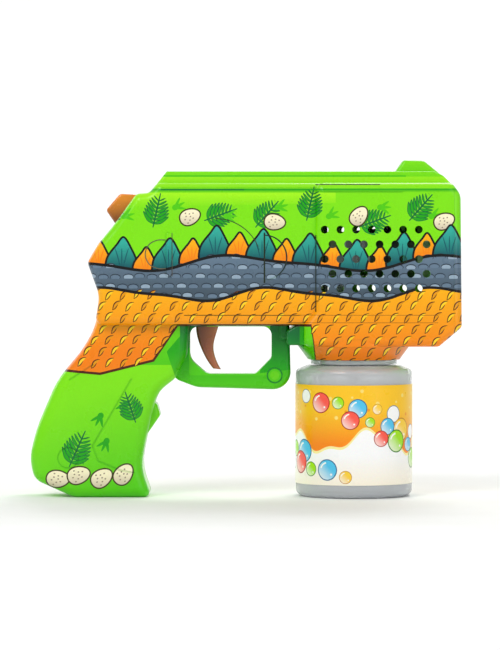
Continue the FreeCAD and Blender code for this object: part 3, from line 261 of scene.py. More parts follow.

# %% [markdown]
# The trigger and the thumb piece are brown plastic with painted shade and painted light: darker at one end, lighter and
# warmer at the other. The shade follows one axis of the object, so it stays put when the trigger turns.


# %% Shaded plastics
def plastic_with_painted_shade(name, first, second, axis, start, end):
    """A moulded plastic whose colour goes from first to second along an axis, between two places in metres: painted
    shade at the dark end, painted light at the bright end.
    """
    material = moulded(name, first, second, (0.18, 0.3), 0.3)
    tree, shader = material.node_tree, material.node_tree.nodes["Principled BSDF"]
    place, split, ramp = (add(tree, "ShaderNode" + kind) for kind in ("TexCoord", "SeparateXYZ", "MapRange"))
    tree.links.new(place.outputs["Object"], split.inputs["Vector"])
    tree.links.new(split.outputs[axis], ramp.inputs["Value"])
    ramp.inputs["From Min"].default_value, ramp.inputs["From Max"].default_value = start, end
    mottle = noise(tree, 120.0)
    wobble = add(tree, "ShaderNodeMath", operation="MULTIPLY_ADD")
    tree.links.new(mottle.outputs["Fac"], wobble.inputs[0])
    wobble.inputs[1].default_value = 0.3
    tree.links.new(ramp.outputs["Result"], wobble.inputs[2])
    mix = add(tree, "ShaderNodeMix", data_type="RGBA")
    mix.inputs["A"].default_value = (*linear(first), 1)
    mix.inputs["B"].default_value = (*linear(second), 1)
    tree.links.new(wobble.outputs["Value"], mix.inputs["Factor"])
    tree.links.new(mix.outputs["Result"], shader.inputs["Base Color"])
    return material


# Painted light: the trigger is dark at its back edge and lit at its front, and the thumb piece is dark below and lit on
# top.
FINISH["trigger"] = plastic_with_painted_shade("trigger_plastic", "#4a1812", "#b4623c", "X", -0.0225, -0.0125)
FINISH["hammer"] = plastic_with_painted_shade("hammer_plastic", "#6a2408", "#f08a18", "Z", 0.1245, 0.1370)

# %% [markdown]
# The bottle is blown polythene: milky, a little see-through, glossy outside. Most of the light that enters is
# scattered in the wall, so it gets subsurface scattering and some transmission. The pump hose and the dip tube
# are clearer and softer.


# %% Milky and clear plastics
def milky(name, colour, other, clear, rough, depth):
    material, tree, shader = new_material(name)
    tinted(tree, shader, colour, other, 22.0)
    gloss = noise(tree, 120.0)
    tree.links.new(spread(tree, gloss.outputs["Fac"], *rough), shader.inputs["Roughness"])
    orange_peel(tree, shader, 260.0, 0.0001)
    shader.inputs["Transmission Weight"].default_value = clear
    shader.inputs["Subsurface Weight"].default_value = 0.35
    shader.inputs["Subsurface Radius"].default_value = (depth, depth, depth)
    shader.inputs["Subsurface Scale"].default_value = 1.0
    shader.inputs["IOR"].default_value = 1.5
    return material


FINISH["milky"] = milky("milky_polythene", "#eef0f2", "#e4e8ec", 0.55, (0.1, 0.2), 0.003)
FINISH["clear"] = milky("clear_hose", "#e6efef", "#dce8ea", 0.6, (0.12, 0.2), 0.002)


# %% Finishes on the CAD pieces
def dress(finish, *names):
    """Puts one finish on CAD nodes by name: their meshes stay, only the material slot changes."""
    for name in names:
        mesh = NODES[name].data
        mesh.materials.clear()
        mesh.materials.append(FINISH[finish])


dress("lime", "right_shell", "left_shell", "battery_door")
dress("green", "muzzle_bezel", "bottle_socket", "drip_chute")
dress("trigger", "trigger")
dress("hammer", "hammer")
dress("white", "air_nozzle", "fan_impeller", "motor_end_cap", "wiper_lever", "pump_body",
      "pump_roller_1", "pump_roller_2", "pump_roller_3")
dress("grey", "fan_housing", "gearbox_frame", "gearbox_plate", "switch_base", "battery_tray")
dress("nylon", "compound_gear", "pump_gear", "pump_rotor")
dress("steel", "body_screws", "door_screw", "gearbox_screws", "compound_axle", "motor_shaft", "trigger_pin",
      "trigger_spring", "battery_bridge", "battery_contacts")
dress("can", "motor_can")
dress("brass", "motor_terminals", "motor_pinion", "switch_leaves")
dress("black", "battery_1", "battery_2")
dress("rubber", "wiper_blade", "socket_gasket")
dress("red_wire", "wire_red")
dress("black_wire", "wire_black")
dress("milky", "bottle")
dress("clear", "pump_tube", "dip_tube")
print("dressed", sum(len(o.data.materials) == 1 for o in NODES.values()), "nodes")

# %% [markdown]
# ## The printed picture
# The print is a thin film on the cheeks of the shells. An image would be the usual way, but shapes keep a crisp
# edge at any distance, so the picture is drawn as flat shapes in millimetres on the side view, X forward and Z
# up, and laid on the moulding later. Every shape is a closed outline and a colour rule, and later shapes cover
# earlier ones, as with cut paper.


# %% Outlines
def smooth_line(points, closed, steps=6):
    """Catmull-Rom curve: between two points it is the cubic whose slopes are half the neighbours' distance."""
    p = np.asarray(points, float)
    if closed:
        before, start, end, after = np.roll(p, 1, 0), p, np.roll(p, -1, 0), np.roll(p, -2, 0)
    else:
        grown = np.concatenate([[2 * p[0] - p[1]], p, [2 * p[-1] - p[-2]]])
        before, start, end, after = grown[:-3], grown[1:-2], grown[2:-1], grown[3:]
    t = (np.arange(steps) / steps)[None, :, None]
    a, b, c, d = (q[:, None] for q in (before, start, end, after))
    curve = 0.5 * (2 * b + (c - a) * t + (2 * a - 5 * b + 4 * c - d) * t ** 2 + (3 * b - a - 3 * c + d) * t ** 3)
    curve = curve.reshape(-1, 2)
    return curve if closed else np.concatenate([curve, p[-1:]])


def stroke(line, width, taper):
    """Outline of a pen stroke: the line pushed to both sides by half the width, thin at its ends by taper."""
    step = np.gradient(line, axis=0)
    side = np.stack([-step[:, 1], step[:, 0]], 1) / np.maximum(np.linalg.norm(step, axis=1), 1e-9)[:, None]
    along = np.linspace(0, 1, len(line))
    swell = 1 - taper * np.abs(2 * along - 1) ** 2.5
    half = (PEN_WEIGHT * width / 2 * swell)[:, None]
    return np.concatenate([line + side * half, (line - side * half)[::-1]])


def inside(outline, points):
    """True where a point is inside: a ray to the right crosses the outline an odd number of times."""
    x, z = points[:, 0], points[:, 1]
    hit = np.zeros(len(points), bool)
    for (x0, z0), (x1, z1) in zip(outline, np.roll(outline, -1, 0)):
        if z0 != z1:
            crosses = (z0 > z) != (z1 > z)
            hit ^= crosses & (x < (x1 - x0) * (z - z0) / (z1 - z0) + x0)
    return hit


# %% The drawing sheet
PEN_WEIGHT = 1.3  # makes every pen line this much bolder
ART = []          # shapes in the order they are painted: (outline, colour rule)


def flat(colour):
    value = linear(colour)
    return lambda p: np.broadcast_to(value, (len(p), 3))


def shade(first, second, start, end):
    """Colour rule: the first colour at start, the second at end, and an even change between them."""
    a, b = linear(first), linear(second)
    start, run = np.array(start, float), np.array(end, float) - start
    return lambda p: a + (b - a) * np.clip((p - start) @ run / (run @ run), 0, 1)[:, None]


def fill(points, colour, curved=True, outline=0.0, pen=INK):
    """Fills a closed shape, and draws round it if outline is a pen width."""
    line = smooth_line(points, True) if curved else np.asarray(points, float)
    ART.append((line, flat(colour) if isinstance(colour, str) else colour))
    if outline:
        ring = np.concatenate([line, line[:1]])
        ART.append((stroke(ring, outline, 0.0), flat(pen)))


def ink(points, width=0.6, pen=INK, taper=0.7, curved=True):
    line = smooth_line(points, False) if curved else np.asarray(points, float)
    ART.append((stroke(line, width, taper), flat(pen)))


def scatter(region, spacing, jitter=0.3):
    """Points of a staggered grid inside a closed region, each moved a little."""
    low, high = region.min(0), region.max(0)
    rows = np.arange(low[1], high[1], spacing * 0.8)
    spots = np.array([(x + (spacing / 2 if k % 2 else 0), z) for k, z in enumerate(rows)
                      for x in np.arange(low[0], high[0], spacing)])
    spots += rng.uniform(-jitter, jitter, spots.shape) * spacing
    return spots[inside(region, spots)]


def scale_mark(x, z, size, turn, pen=INK_BROWN, width=0.35, tone=None):
    """One scale: a half oval, lit inside if it has a tone, with an open hook inked round it."""
    t = np.linspace(-0.2, 1.2, 9) * np.pi
    c, s = math.cos(turn), math.sin(turn)
    hook = np.stack([np.cos(t) * size, np.sin(t) * size * 0.55], 1) @ np.array([[c, s], [-s, c]]) + (x, z)
    if tone:
        fill(hook, tone, False)
    ink(hook, width, pen, 0.8, curved=False)


def claw_mark(x, z, size, turn, pen=INK_BROWN, width=0.5, tone=None):
    """A pointed scale: a bent line over a long tip, and a short line back from the tip."""
    c, s = math.cos(turn), math.sin(turn)
    spin = np.array([[c, s], [-s, c]])
    top = np.array([(1.1, 0.75), (0.2, 0.7), (-0.5, 0.2), (-1.0, -0.95)]) * size @ spin + (x, z)
    low = np.array([(-1.0, -0.95), (-0.3, -0.6), (0.35, 0.1)]) * size @ spin + (x, z)
    if tone:
        fill(np.concatenate([top, low[1:]]), tone, False)
    ink(top, width, pen, 0.6)
    ink(low, width * 0.8, pen, 0.8)


print("pen and paint are ready")

# %% [markdown]
# ### Ground colours
# Lime everywhere, darker towards the bottom as painted shade, with painted shade along the lines of the mouldings and a
# painted highlight on the rail, a deep green trigger guard with painted shade in its upper corners, and paler edges
# where light catches the grip.


# %% Lime ground
def paint_ground():
    # Painted shade: the lime darkens towards the bottom of the body, and on the grip towards its foot, paler towards
    # its upper rear where light catches it.
    fill([(-110, -5), (110, -5), (110, 160), (-110, 160)], shade(LIME_DEEP, LIME, (0, 60), (0, 105)), False)
    fill([(-110, -5), (-30, -5), (-30, 60), (-110, 60)], shade(LIME_DEEP, LIME, (-60, 0), (-75, 45)), False)
    # On the rail: painted shade in the groove under it, a painted highlight over its top, a thin line of painted shade
    # near its top, and a painted highlight on the band below the groove.
    fill([(-52, 137.6), (100, 137.6), (100, 139.4), (-52, 139.4)], shade(GREEN, LIME, (0, 139.0), (0, 137.6)), False)
    fill([(-52, 139.4), (100, 139.4), (100, 145), (-52, 145)], shade(LIME, LIME_LIGHT, (0, 139.4), (0, 143)), False)
    fill([(-52, 144.9), (72, 144.9), (72, 145.6), (-52, 145.6)], LIME_DEEP, False)
    fill([(-52, 131), (40, 133), (40, 137.6), (-52, 137.6)], shade(LIME_LIGHT, LIME, (0, 137), (0, 131)), False)
    # Painted shade on the deep green guard: darker towards the barrel, and deepest in its two upper corners where it
    # meets the barrel.
    guard = [(-30, 48), (26, 46), (26, 77.6), (12, 77.6), (12, 55), (-26, 55), (-26, 77.6), (-36, 66)]
    fill(guard, shade(LIME_DEEP, GREEN, (0, 49), (0, 66)), False)
    fill([(6, 56), (24, 58), (24, 78), (11, 78)], shade(GREEN, GREEN_DEEP, (14, 57), (17, 76)), False)
    fill([(-30, 66), (-18, 70), (-18, 78), (-30, 78)], shade(GREEN, GREEN_DEEP, (-30, 64), (-24, 78)), False)
    # Painted shade round a moulded ring at the guard's front foot: darkest at the rim, lighter in the middle.
    ring = np.linspace(0, 2 * np.pi, 25)[:-1]
    for radius, colour in ((3.5, GREEN), (2.9, LIME_DEEP), (2.0, "#66d400")):
        fill(np.stack([12.8 + radius * np.cos(ring), 55 + radius * np.sin(ring)], 1), colour, False)


paint_ground()


# %% [markdown]
# ### A reptile-hide pattern
# The print is a pattern and shows no figure: leaves, three-toed tracks and speckled eggs on the lime ground, a row
# of back plates, a slate band of round scales and an orange band of pointed ones. Every edge is a sine and every
# piece is placed by a loop, so the pattern can be stretched or repeated without being drawn again.


# %% Bands
X_EDGE = np.linspace(-110, 110, 111)


def wave(level, height, length, phase, x=X_EDGE):
    """Edge of a band: its level plus a sine and a third as much of the sine of twice the angle."""
    turn = 2 * np.pi * np.asarray(x) / length + phase
    return level + height * (np.sin(turn) + np.sin(2 * turn) / 3)


def band(top, foot):
    """Closed outline between a wavy top and the points of its foot, which run towards +X."""
    return np.concatenate([np.stack([X_EDGE, top], 1), np.asarray(foot, float)[::-1]])


def turned(points, size, turn, x, z):
    """Points scaled, turned anticlockwise and moved into place."""
    c, s = math.cos(turn), math.sin(turn)
    return np.asarray(points, float) * size @ np.array([[c, s], [-s, c]]) + (x, z)


ORANGE_EDGE = (92, 2.6, 74, 0.4)
SLATE_EDGE = (106, 3.0, 96, 1.7)
ORANGE_TOP, SLATE_TOP = wave(*ORANGE_EDGE), wave(*SLATE_EDGE)
BODY_FOOT = [(-110, 60), (-66, 56), (-42, 62), (-31, 78), (29, 78), (32, 58), (110, 58)]


# %% Leaves, tracks and eggs
def fern(x, z, length, turn, tone=GREEN, vein=GREEN_DEEP):
    """A leaf: pairs of slim leaflets along a straight stem, shorter towards the tip as one minus the square."""
    for along in np.linspace(0.12, 0.92, 8):
        reach = 0.34 * (1 - along ** 2) + 0.05
        for side in (-1, 1):
            leaflet = [(along, 0), (along + 0.4 * reach, 0.45 * side * reach), (along + 0.75 * reach, side * reach),
                       (along + 0.05, 0.55 * side * reach)]
            fill(turned(leaflet, length, turn, x, z), tone, True, 0.25, vein)
    ink(turned([(0, 0), (0.5, 0.0), (1.05, 0)], length, turn, x, z), 0.6, vein, 0.4)


def track(x, z, size, turn, tone=GREEN):
    """A three-toed footprint: a round heel and three long drops that fan out from it."""
    t = np.linspace(0, 2 * np.pi, 17)[:-1]
    fill(turned(np.stack([0.42 * np.cos(t), 0.38 * np.sin(t)], 1), size, turn, x, z), tone)
    for lean in (-0.62, 0.0, 0.62):
        toe = [(0.25, -0.16), (0.95, -0.15), (1.45, 0), (0.95, 0.15), (0.25, 0.16)]
        fill(turned(toe, size, turn + lean, x, z), tone)


def egg(x, z, size, turn, body=CREAM):
    """An egg: a circle drawn out at one end, with shade below and specks laid round on the golden angle."""
    t = np.linspace(0, 2 * np.pi, 25)[:-1]
    shell = np.stack([np.cos(t) * (1.15 + 0.18 * np.cos(t)), 0.86 * np.sin(t)], 1)
    fill(turned(shell, size, turn, x, z), shade(TAN, body, (x, z - size), (x, z + 0.4 * size)), True, 0.5, INK_OLIVE)
    for k in range(9):
        angle, out = 2.4 * k, 0.22 + 0.055 * k
        speck = np.stack([0.09 * np.cos(t[::3]), 0.07 * np.sin(t[::3])], 1)
        speck += (out * math.cos(angle), out * math.sin(angle))
        fill(turned(speck, size, turn, x, z), TAN_DARK)


def paint_ground_marks():
    for k, x in enumerate(np.arange(-88, 96, 23.0)):
        fern(x, 122 + 3 * (k % 2), 15.0, 0.35 + 0.5 * (k % 3))
    for k, x in enumerate(np.arange(-78, 96, 23.0)):
        track(x, 131 - 4 * (k % 2), 3.4, 0.25 * (k % 3), LIME_DEEP)
    for k, x in enumerate(np.arange(-70, 92, 38.0)):
        egg(x + 6, 124.5 + 2 * (k % 2), 4.2, 0.9 - 0.5 * (k % 3))


# %% Back plates and scales
def plate(x, base, size, tone, dark):
    """A back plate: a leaf-shaped blade standing on the band, with three lines fanned up from its foot."""
    blade = [(-0.55, -0.3), (-0.62, 0.35), (-0.2, 0.95), (0.08, 1.25), (0.38, 0.8), (0.62, 0.2), (0.5, -0.3)]
    fill(turned(blade, size, 0.0, x, base), shade(dark, tone, (x, base), (x, base + size)), True, 0.7)
    for lean in (-0.28, 0.0, 0.28):
        ink(turned([(0.2 * lean, 0.0), (0.6 * lean, 0.45), (lean, 0.8)], size, 0.0, x, base), 0.35, dark)


def paint_bands():
    for k, x in enumerate(np.arange(-98, 100, 10.5)):
        tone, dark = ((TEAL_LIGHT, TEAL_DARK), (ORANGE, ORANGE_DEEP))[k % 2]
        plate(x, float(wave(*SLATE_EDGE, x)), 8.5 if k % 2 else 11.0, tone, dark)
    slate = band(SLATE_TOP, np.stack([X_EDGE, ORANGE_TOP - 2], 1))
    fill(slate, shade(SLATE_DARK, SLATE, (0, 92), (0, 108)), False, 0.9)
    for k, (x, z) in enumerate(scatter(slate, 5.4, 0.06)):
        scale_mark(x, z, 2.3, 0.0, SLATE_DEEP, 0.35, SLATE_LIGHT if k % 3 == 0 else SLATE)
    orange = band(ORANGE_TOP, BODY_FOOT)
    fill(orange, shade(ORANGE_DEEP, ORANGE, (0, 66), (0, 94)), False, 0.9, INK_BROWN)
    for k, (x, z) in enumerate(scatter(orange, 6.4, 0.08)):
        claw_mark(x, z, 2.1, 0.15, INK_BROWN, 0.4, YELLOW if k % 2 else AMBER)
    for edge in (ORANGE_TOP, SLATE_TOP):
        ink(np.stack([X_EDGE, edge], 1)[::3], 1.0, INK, 0.1)


# %% Grip
def paint_grip():
    """Tracks that walk down the grip's own slope, leaves beside them and eggs at the foot."""
    down = np.array([math.cos(math.radians(243)), math.sin(math.radians(243))])
    for k in range(4):
        spot = np.array([-58.0, 44.0]) + down * 9.5 * k + ((-3.5, 1.5) if k % 2 else (3.5, -1.5))
        track(spot[0], spot[1], 3.6, math.radians(243), GREEN)
    fern(-80, 14, 17.0, 1.15)
    fern(-50, 34, 14.0, 1.9)
    for k, x in enumerate((-86, -76.5, -66, -56)):
        egg(x, 8.5 + 1.5 * (k % 2), 4.6, 0.3 * k)


paint_ground_marks()
paint_bands()
paint_grip()
print("shapes in the picture:", len(ART))


# %% Painted shade in the lines of the mouldings
def arc(x, z, r, first, last):
    """Points of a circle between two angles in degrees."""
    t = np.radians(np.linspace(first, last, 16))
    return np.stack([x + r * np.cos(t), z + r * np.sin(t)], 1)


def paint_groove_shade():
    """Painted shade: dark lines along the moulded grooves, steps and rings, where shade falls in them."""
    dark = "#26301f"
    for line, width, pen in (([(-38.5, 138.9), (-1, 138.9)], 0.5, GREEN_DEEP), ([(-1, 138.9), (31, 138.9)], 0.4, GREEN),
                             ([(31, 141.2), (60, 141.2)], 0.45, dark), ([(8.1, 119.7), (8.1, 97)], 0.7, dark),
                             ([(31.2, 118.6), (31.2, 84)], 0.6, dark), ([(24, 82.6), (86, 82.6)], 0.25, BROWN),
                             ([(-28, 82.5), (24, 82.5)], 0.3, BROWN), ([(18, 79.2), (86, 79.2)], 0.25, BROWN),
                             ([(-33.4, 119.5), (-33.4, 100)], 0.35, "#5f5644")):
        ink(line, width, pen, 0.3, curved=False)
    ink(arc(-14, 105, 21, 90, 24), 0.3, "#4c4836", 0.2)
    ink(arc(8.1, 108.5, 10, 88, -54), 0.5, "#22332e", 0.2)
    panel = [(-36.2, 116.4), (-40, 116.3), (-43.8, 114.3), (-45.5, 110), (-43.8, 105.6), (-40, 103.6), (-36.2, 103.5)]
    ink(panel, 0.35, "#6d6552", 0.2)
    ink(arc(12.8, 55, 3.4, 0, 350), 0.3, GREEN_DEEP, 0.1)


paint_groove_shade()
print("shapes with the moulded lines:", len(ART))

# %% [markdown]
# ### Laying the print on the moulding
# The film has to follow every soft edge, groove and vent. The outer faces of the CAD shell already have that
# shape, so their triangles are flattened onto the side view together with the picture's outlines, and a
# constrained triangulation cuts both along each other. Each small triangle then takes its depth and its shading
# from the CAD triangle under it, and its colour from the last shape that covers it.


# %% Outer skin of a CAD piece
def triangles_of(name):
    """Corner points in millimetres and corner normals of a CAD node, both (n, 3, 3)."""
    mesh = NODES[name].data
    count = len(mesh.polygons)
    points = np.empty(len(mesh.vertices) * 3)
    mesh.vertices.foreach_get("co", points)
    corners = np.empty(count * 3, int)
    mesh.polygons.foreach_get("vertices", corners)
    normals = np.empty(count * 9, np.float32)
    mesh.corner_normals.foreach_get("vector", normals)
    return points.reshape(-1, 3)[corners.reshape(-1, 3)] / MM, normals.reshape(-1, 3, 3).astype(float)


def tree_of(tris):
    return BVHTree.FromPolygons([tuple(p) for p in tris.reshape(-1, 3)],
                                [(3 * i, 3 * i + 1, 3 * i + 2) for i in range(len(tris))], all_triangles=True)


def outer_skin(name, side, steep=0.03):
    """The faces that look to that side and are the first met by a ray along Y from outside."""
    tris, normals = triangles_of(name)
    cross = np.cross(tris[:, 1] - tris[:, 0], tris[:, 2] - tris[:, 0])
    size = np.linalg.norm(cross, axis=1)
    facing = (cross[:, 1] * side > steep * size) & (size > 1e-7)
    tree, middle = tree_of(tris), tris.mean(1)
    for i in np.flatnonzero(facing):
        hit = tree.ray_cast(Vector((middle[i, 0], side * 80, middle[i, 2])), Vector((0, -side, 0)))
        facing[i] = hit[0] is not None and abs(hit[0].y - middle[i, 1]) < 0.02
    return tris[facing], normals[facing]


# %% Cutting and colouring
FILM = 0.07          # thickness of the printed film, mm
GRID = 2.4           # extra points, so that soft colour changes follow the picture


def cut_flat(tris, shapes):
    """Triangulates the side view along the skin's edges and the outlines of the shapes."""
    flat_points, where = np.unique(np.round(tris[:, :, [0, 2]].reshape(-1, 2), 4), axis=0, return_inverse=True)
    faces = where.reshape(-1, 3)
    pairs = np.sort(np.concatenate([faces[:, [0, 1]], faces[:, [1, 2]], faces[:, [2, 0]]]), 1)
    pairs = np.unique(pairs[pairs[:, 0] != pairs[:, 1]], axis=0)
    low, high = flat_points.min(0), flat_points.max(0)
    points, edges, count = [flat_points], [pairs], len(flat_points)
    for outline, _ in shapes:
        if (outline.max(0) > low).all() and (outline.min(0) < high).all():
            n = len(outline)
            points.append(outline)
            edges.append(np.stack([np.arange(n), (np.arange(n) + 1) % n], 1) + count)
            count += n
    gx, gz = np.meshgrid(np.arange(low[0], high[0], GRID), np.arange(low[1], high[1], GRID))
    points.append(np.stack([gx.ravel(), gz.ravel()], 1) + 0.0137)
    made = delaunay_2d_cdt([Vector(p) for p in np.concatenate(points)],
                           [tuple(int(i) for i in e) for e in np.concatenate(edges)], [], 0, 1e-4, False)
    return np.array([tuple(v) for v in made[0]]), np.array([f for f in made[2] if len(f) == 3])


def weights(tri, p):
    """Barycentric weights of points p in flat triangles tri: each corner's share of the area."""
    a, b, c = tri[:, 0], tri[:, 1], tri[:, 2]
    area = (b[:, 0] - a[:, 0]) * (c[:, 1] - a[:, 1]) - (c[:, 0] - a[:, 0]) * (b[:, 1] - a[:, 1])
    v = ((p[:, 0] - a[:, 0]) * (c[:, 1] - a[:, 1]) - (c[:, 0] - a[:, 0]) * (p[:, 1] - a[:, 1])) / area
    w = ((b[:, 0] - a[:, 0]) * (p[:, 1] - a[:, 1]) - (p[:, 0] - a[:, 0]) * (b[:, 1] - a[:, 1])) / area
    return np.stack([1 - v - w, v, w], 1)


def colours_for(shapes, middles, corners):
    """Linear colour of every corner: each shape, in order, paints the triangles whose middles it covers."""
    colour = np.tile(linear(LIME), (len(middles), 3, 1))
    for outline, rule in shapes:
        low, high = outline.min(0), outline.max(0)
        near = np.flatnonzero(((middles > low) & (middles < high)).all(1))
        if len(near):
            near = near[inside(outline, middles[near])]
            colour[near] = rule(corners[near].reshape(-1, 2)).reshape(-1, 3, 3)
    return colour


def printed(name, node, side, body, shapes=ART):
    """A film over one side of a CAD node, cut and coloured by the shapes."""
    tris, normals = outer_skin(node, side)
    flat_points, faces = cut_flat(tris, shapes)
    middles = flat_points[faces].mean(1)
    tree = tree_of(tris)
    under = np.full(len(faces), -1)
    for i, (x, z) in enumerate(middles):
        hit = tree.ray_cast(Vector((x, side * 80, z)), Vector((0, -side, 0)))
        if hit[0] is not None:
            under[i] = hit[2]
    faces, middles, under = faces[under >= 0], middles[under >= 0], under[under >= 0]
    corner = flat_points[faces].reshape(-1, 2)
    base = np.repeat(under, 3)
    share = weights(tris[base][:, :, [0, 2]], corner)
    depth = (share * tris[base][:, :, 1]).sum(1)
    normal = (np.clip(share, 0, 1)[:, :, None] * normals[base]).sum(1)
    normal /= np.linalg.norm(normal, axis=1)[:, None]
    key = np.stack([faces.ravel(), np.round(depth / 0.004).astype(int)], 1)
    _, first, index = np.unique(key, axis=0, return_index=True, return_inverse=True)
    index = index.ravel()
    push = np.zeros((len(first), 3))
    np.add.at(push, index, normal)
    push /= np.maximum(np.linalg.norm(push, axis=1), 1e-6)[:, None]
    place = np.stack([corner[:, 0], depth, corner[:, 1]], 1)[first] + push * FILM
    ring = index.reshape(-1, 3)
    ahead = np.cross(place[ring[:, 1]] - place[ring[:, 0]], place[ring[:, 2]] - place[ring[:, 0]])[:, 1] * side > 0
    order = np.where(ahead[:, None], [[0, 1, 2]], [[0, 2, 1]])
    rows = np.arange(len(ring))[:, None]
    ring = ring[rows, order]
    colour = colours_for(shapes, middles, flat_points[faces])[rows, order]
    film = make_mesh(name, place * MM, ring)
    shades = film.data.color_attributes.new("print", "FLOAT_COLOR", "CORNER")
    rgba = np.concatenate([colour.reshape(-1, 3), np.ones((len(ring) * 3, 1))], 1)
    shades.data.foreach_set("color", rgba.astype(np.float32).ravel())
    film.data.normals_split_custom_set(normal.reshape(-1, 3, 3)[rows, order].reshape(-1, 3).tolist())
    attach(film, body)
    print(name, "has", len(ring), "triangles")
    return film


# %% Printed film finish
def print_finish(name, attribute, rough=(0.24, 0.36), coat=0.1):
    """Ink under a clear coat: the colour comes from the film's own attribute, broken by a faint print grain."""
    material, tree, shader = new_material(name)
    colour = add(tree, "ShaderNodeAttribute", attribute_name=attribute)
    grain = noise(tree, 1400.0, 2.0)
    mix = add(tree, "ShaderNodeMix", data_type="RGBA", blend_type="MULTIPLY")
    mix.inputs["Factor"].default_value = 0.10
    tree.links.new(colour.outputs["Color"], mix.inputs["A"])
    tree.links.new(grain.outputs["Color"], mix.inputs["B"])
    tree.links.new(mix.outputs["Result"], shader.inputs["Base Color"])
    gloss = noise(tree, 80.0)
    tree.links.new(spread(tree, gloss.outputs["Fac"], *rough), shader.inputs["Roughness"])
    orange_peel(tree, shader, 500.0, 0.00005)
    shader.inputs["Specular IOR Level"].default_value = 0.3
    shader.inputs["Coat Weight"].default_value = coat
    shader.inputs["Coat Roughness"].default_value = 0.1
    return material


FINISH["print"] = print_finish("printed_film", "print")
films = [printed("print_right", "right_shell", -1, "housing"), printed("print_left", "left_shell", 1, "housing"),
         printed("print_front_right", "muzzle_bezel", -1, "housing"),
         printed("print_front_left", "muzzle_bezel", 1, "housing"),
         printed("print_battery_door", "battery_door", 1, "battery_cover")]
for film in films:
    film.data.materials.append(FINISH["print"])

# %% [markdown]
# ## The bottle's label
# A paper band round the bottle, printed with soap bubbles over an orange and cream ground. It is drawn flat, as
# it would come off the roll, cut by the same triangulation and then wrapped: distance round becomes angle.


# %% Label artwork
LABEL = []


def bubble(u, v, r, tone, rim, glow=WHITE):
    """A bubble: a dark rim, a body that lightens to one side, a long highlight and a small one opposite."""
    t = np.linspace(0, 2 * np.pi, 37)[:-1]
    ring = np.stack([np.cos(t), np.sin(t)], 1)
    LABEL.append((ring * r + (u, v), flat(rim)))
    LABEL.append((ring * r * 0.9 + (u, v), shade(tone, glow, (u + 0.2 * r, v + 0.2 * r), (u - r, v - r))))
    bow = np.linspace(1.75, 2.9, 10)
    outer = np.stack([np.cos(bow), np.sin(bow)], 1) * r * 0.74
    LABEL.append((np.concatenate([outer, outer[::-1] * 0.8]) + (u, v), flat(WHITE)))
    LABEL.append((ring * r * 0.1 + (u + 0.42 * r, v - 0.42 * r), flat(WHITE)))


def paint_label(low, high, half):
    tall = high - low
    box = [(-half - 1, low - 1), (half + 1, low - 1), (half + 1, high + 1), (-half - 1, high + 1)]
    LABEL.append((np.array(box), shade("#fff6e2", "#ffffff", (0, low), (0, low + 0.3 * tall))))
    u = np.linspace(-half - 1, half + 1, 160)
    wave = low + tall * (0.42 + 0.10 * np.sin(u / half * np.pi * 4 + 0.6) + 0.04 * np.sin(u / half * np.pi * 10))
    top = np.concatenate([np.stack([u, wave], 1), [[half + 1, high + 1], [-half - 1, high + 1]]])
    LABEL.append((top, shade("#ff8a00", "#ffc81e", (0, low + 0.4 * tall), (0, low + 0.75 * tall))))
    LABEL.append((np.concatenate([np.stack([u, wave], 1), np.stack([u, wave + 1.2], 1)[::-1]]), flat("#fff0a0")))
    t = np.linspace(0, 2 * np.pi, 21)[:-1]
    ring = np.stack([np.cos(t), np.sin(t)], 1)
    for k in range(46):
        spot = np.array([-half + 2 + (k * 7.31) % (2 * half - 4), low + tall * (0.62 + 0.33 * ((k * 0.617) % 1))])
        LABEL.append((ring * (0.5 + 0.5 * ((k * 0.37) % 1)) + spot, flat("#ffe27a" if k % 3 else "#f59a10")))
    tones = (("#a5e600", "#2f7d00"), ("#ffffff", "#6c7f8c"), ("#52c6f0", "#14618f"), ("#ff5a4a", "#a8160c"),
             ("#ffd23a", "#c88a00"))
    for k in range(44):
        across, up, big = (k * 0.618034) % 1, (k * 0.754878) % 1, (k * 0.569840) % 1
        r = 2.0 + 3.4 * big
        tone, rim = tones[k % 5]
        bubble(-half + r + across * 2 * (half - r), low + r + up * (tall - 2 * r), r, tone, rim)


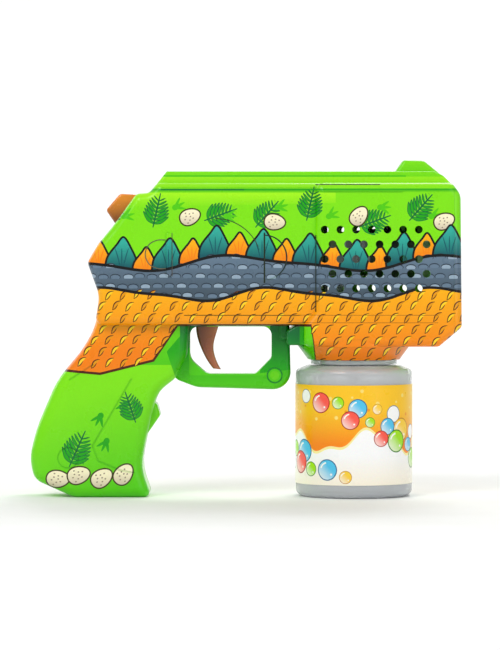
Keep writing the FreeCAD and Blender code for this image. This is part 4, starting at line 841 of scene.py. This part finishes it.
def dense(outline, step=1.0):
    """The same outline with its long sides cut into pieces no longer than a step."""
    ahead = np.roll(outline, -1, 0)
    pieces = []
    for a, b in zip(outline, ahead):
        n = max(1, math.ceil(np.linalg.norm(b - a) / step))
        pieces.append(a + (b - a) * (np.arange(n) / n)[:, None])
    return np.concatenate(pieces)


# %% Wrapping the label
def wrapped_label(name, node, body):
    low, high = (np.array(v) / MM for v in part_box(node))
    middle, radius = (low + high) / 2, (high[0] - low[0]) / 2 + 0.05
    half = math.pi * radius
    paint_label(low[2], high[2], half)
    edge = np.array([(-half, low[2]), (half, low[2]), (half, high[2]), (-half, high[2])])
    shapes = [(dense(outline), rule) for outline, rule in LABEL]
    points, edges, count = [], [], 0
    for outline in [dense(edge)] + [np.clip(outline, edge[0], edge[2]) for outline, _ in shapes[1:]]:
        n = len(outline)
        points.append(outline)
        edges.append(np.stack([np.arange(n), (np.arange(n) + 1) % n], 1) + count)
        count += n
    gu, gv = np.meshgrid(np.arange(-half + 0.5, half, 1.0), np.arange(low[2] + 0.5, high[2], 1.5))
    points.append(np.stack([gu.ravel(), gv.ravel()], 1))
    made = delaunay_2d_cdt([Vector(p) for p in np.concatenate(points)],
                           [tuple(int(i) for i in e) for e in np.concatenate(edges)], [], 0, 1e-4, False)
    flat_points = np.array([tuple(v) for v in made[0]])
    faces = np.array([f for f in made[2] if len(f) == 3])
    angle = flat_points[:, 0] / radius
    place = np.stack([middle[0] + radius * np.sin(angle), middle[1] - radius * np.cos(angle), flat_points[:, 1]], 1)
    film = make_mesh(name, place * MM, faces)
    colour = colours_for(shapes, flat_points[faces].mean(1), flat_points[faces])
    shades = film.data.color_attributes.new("print", "FLOAT_COLOR", "CORNER")
    rgba = np.concatenate([colour.reshape(-1, 3), np.ones((len(faces) * 3, 1))], 1)
    shades.data.foreach_set("color", rgba.astype(np.float32).ravel())
    film.data.materials.append(FINISH["print"])
    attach(film, body)
    print(name, "has", len(faces), "triangles")
    return film


dress("white", "bottle_label")
wrapped_label("label_print", "bottle_label", "bottle")
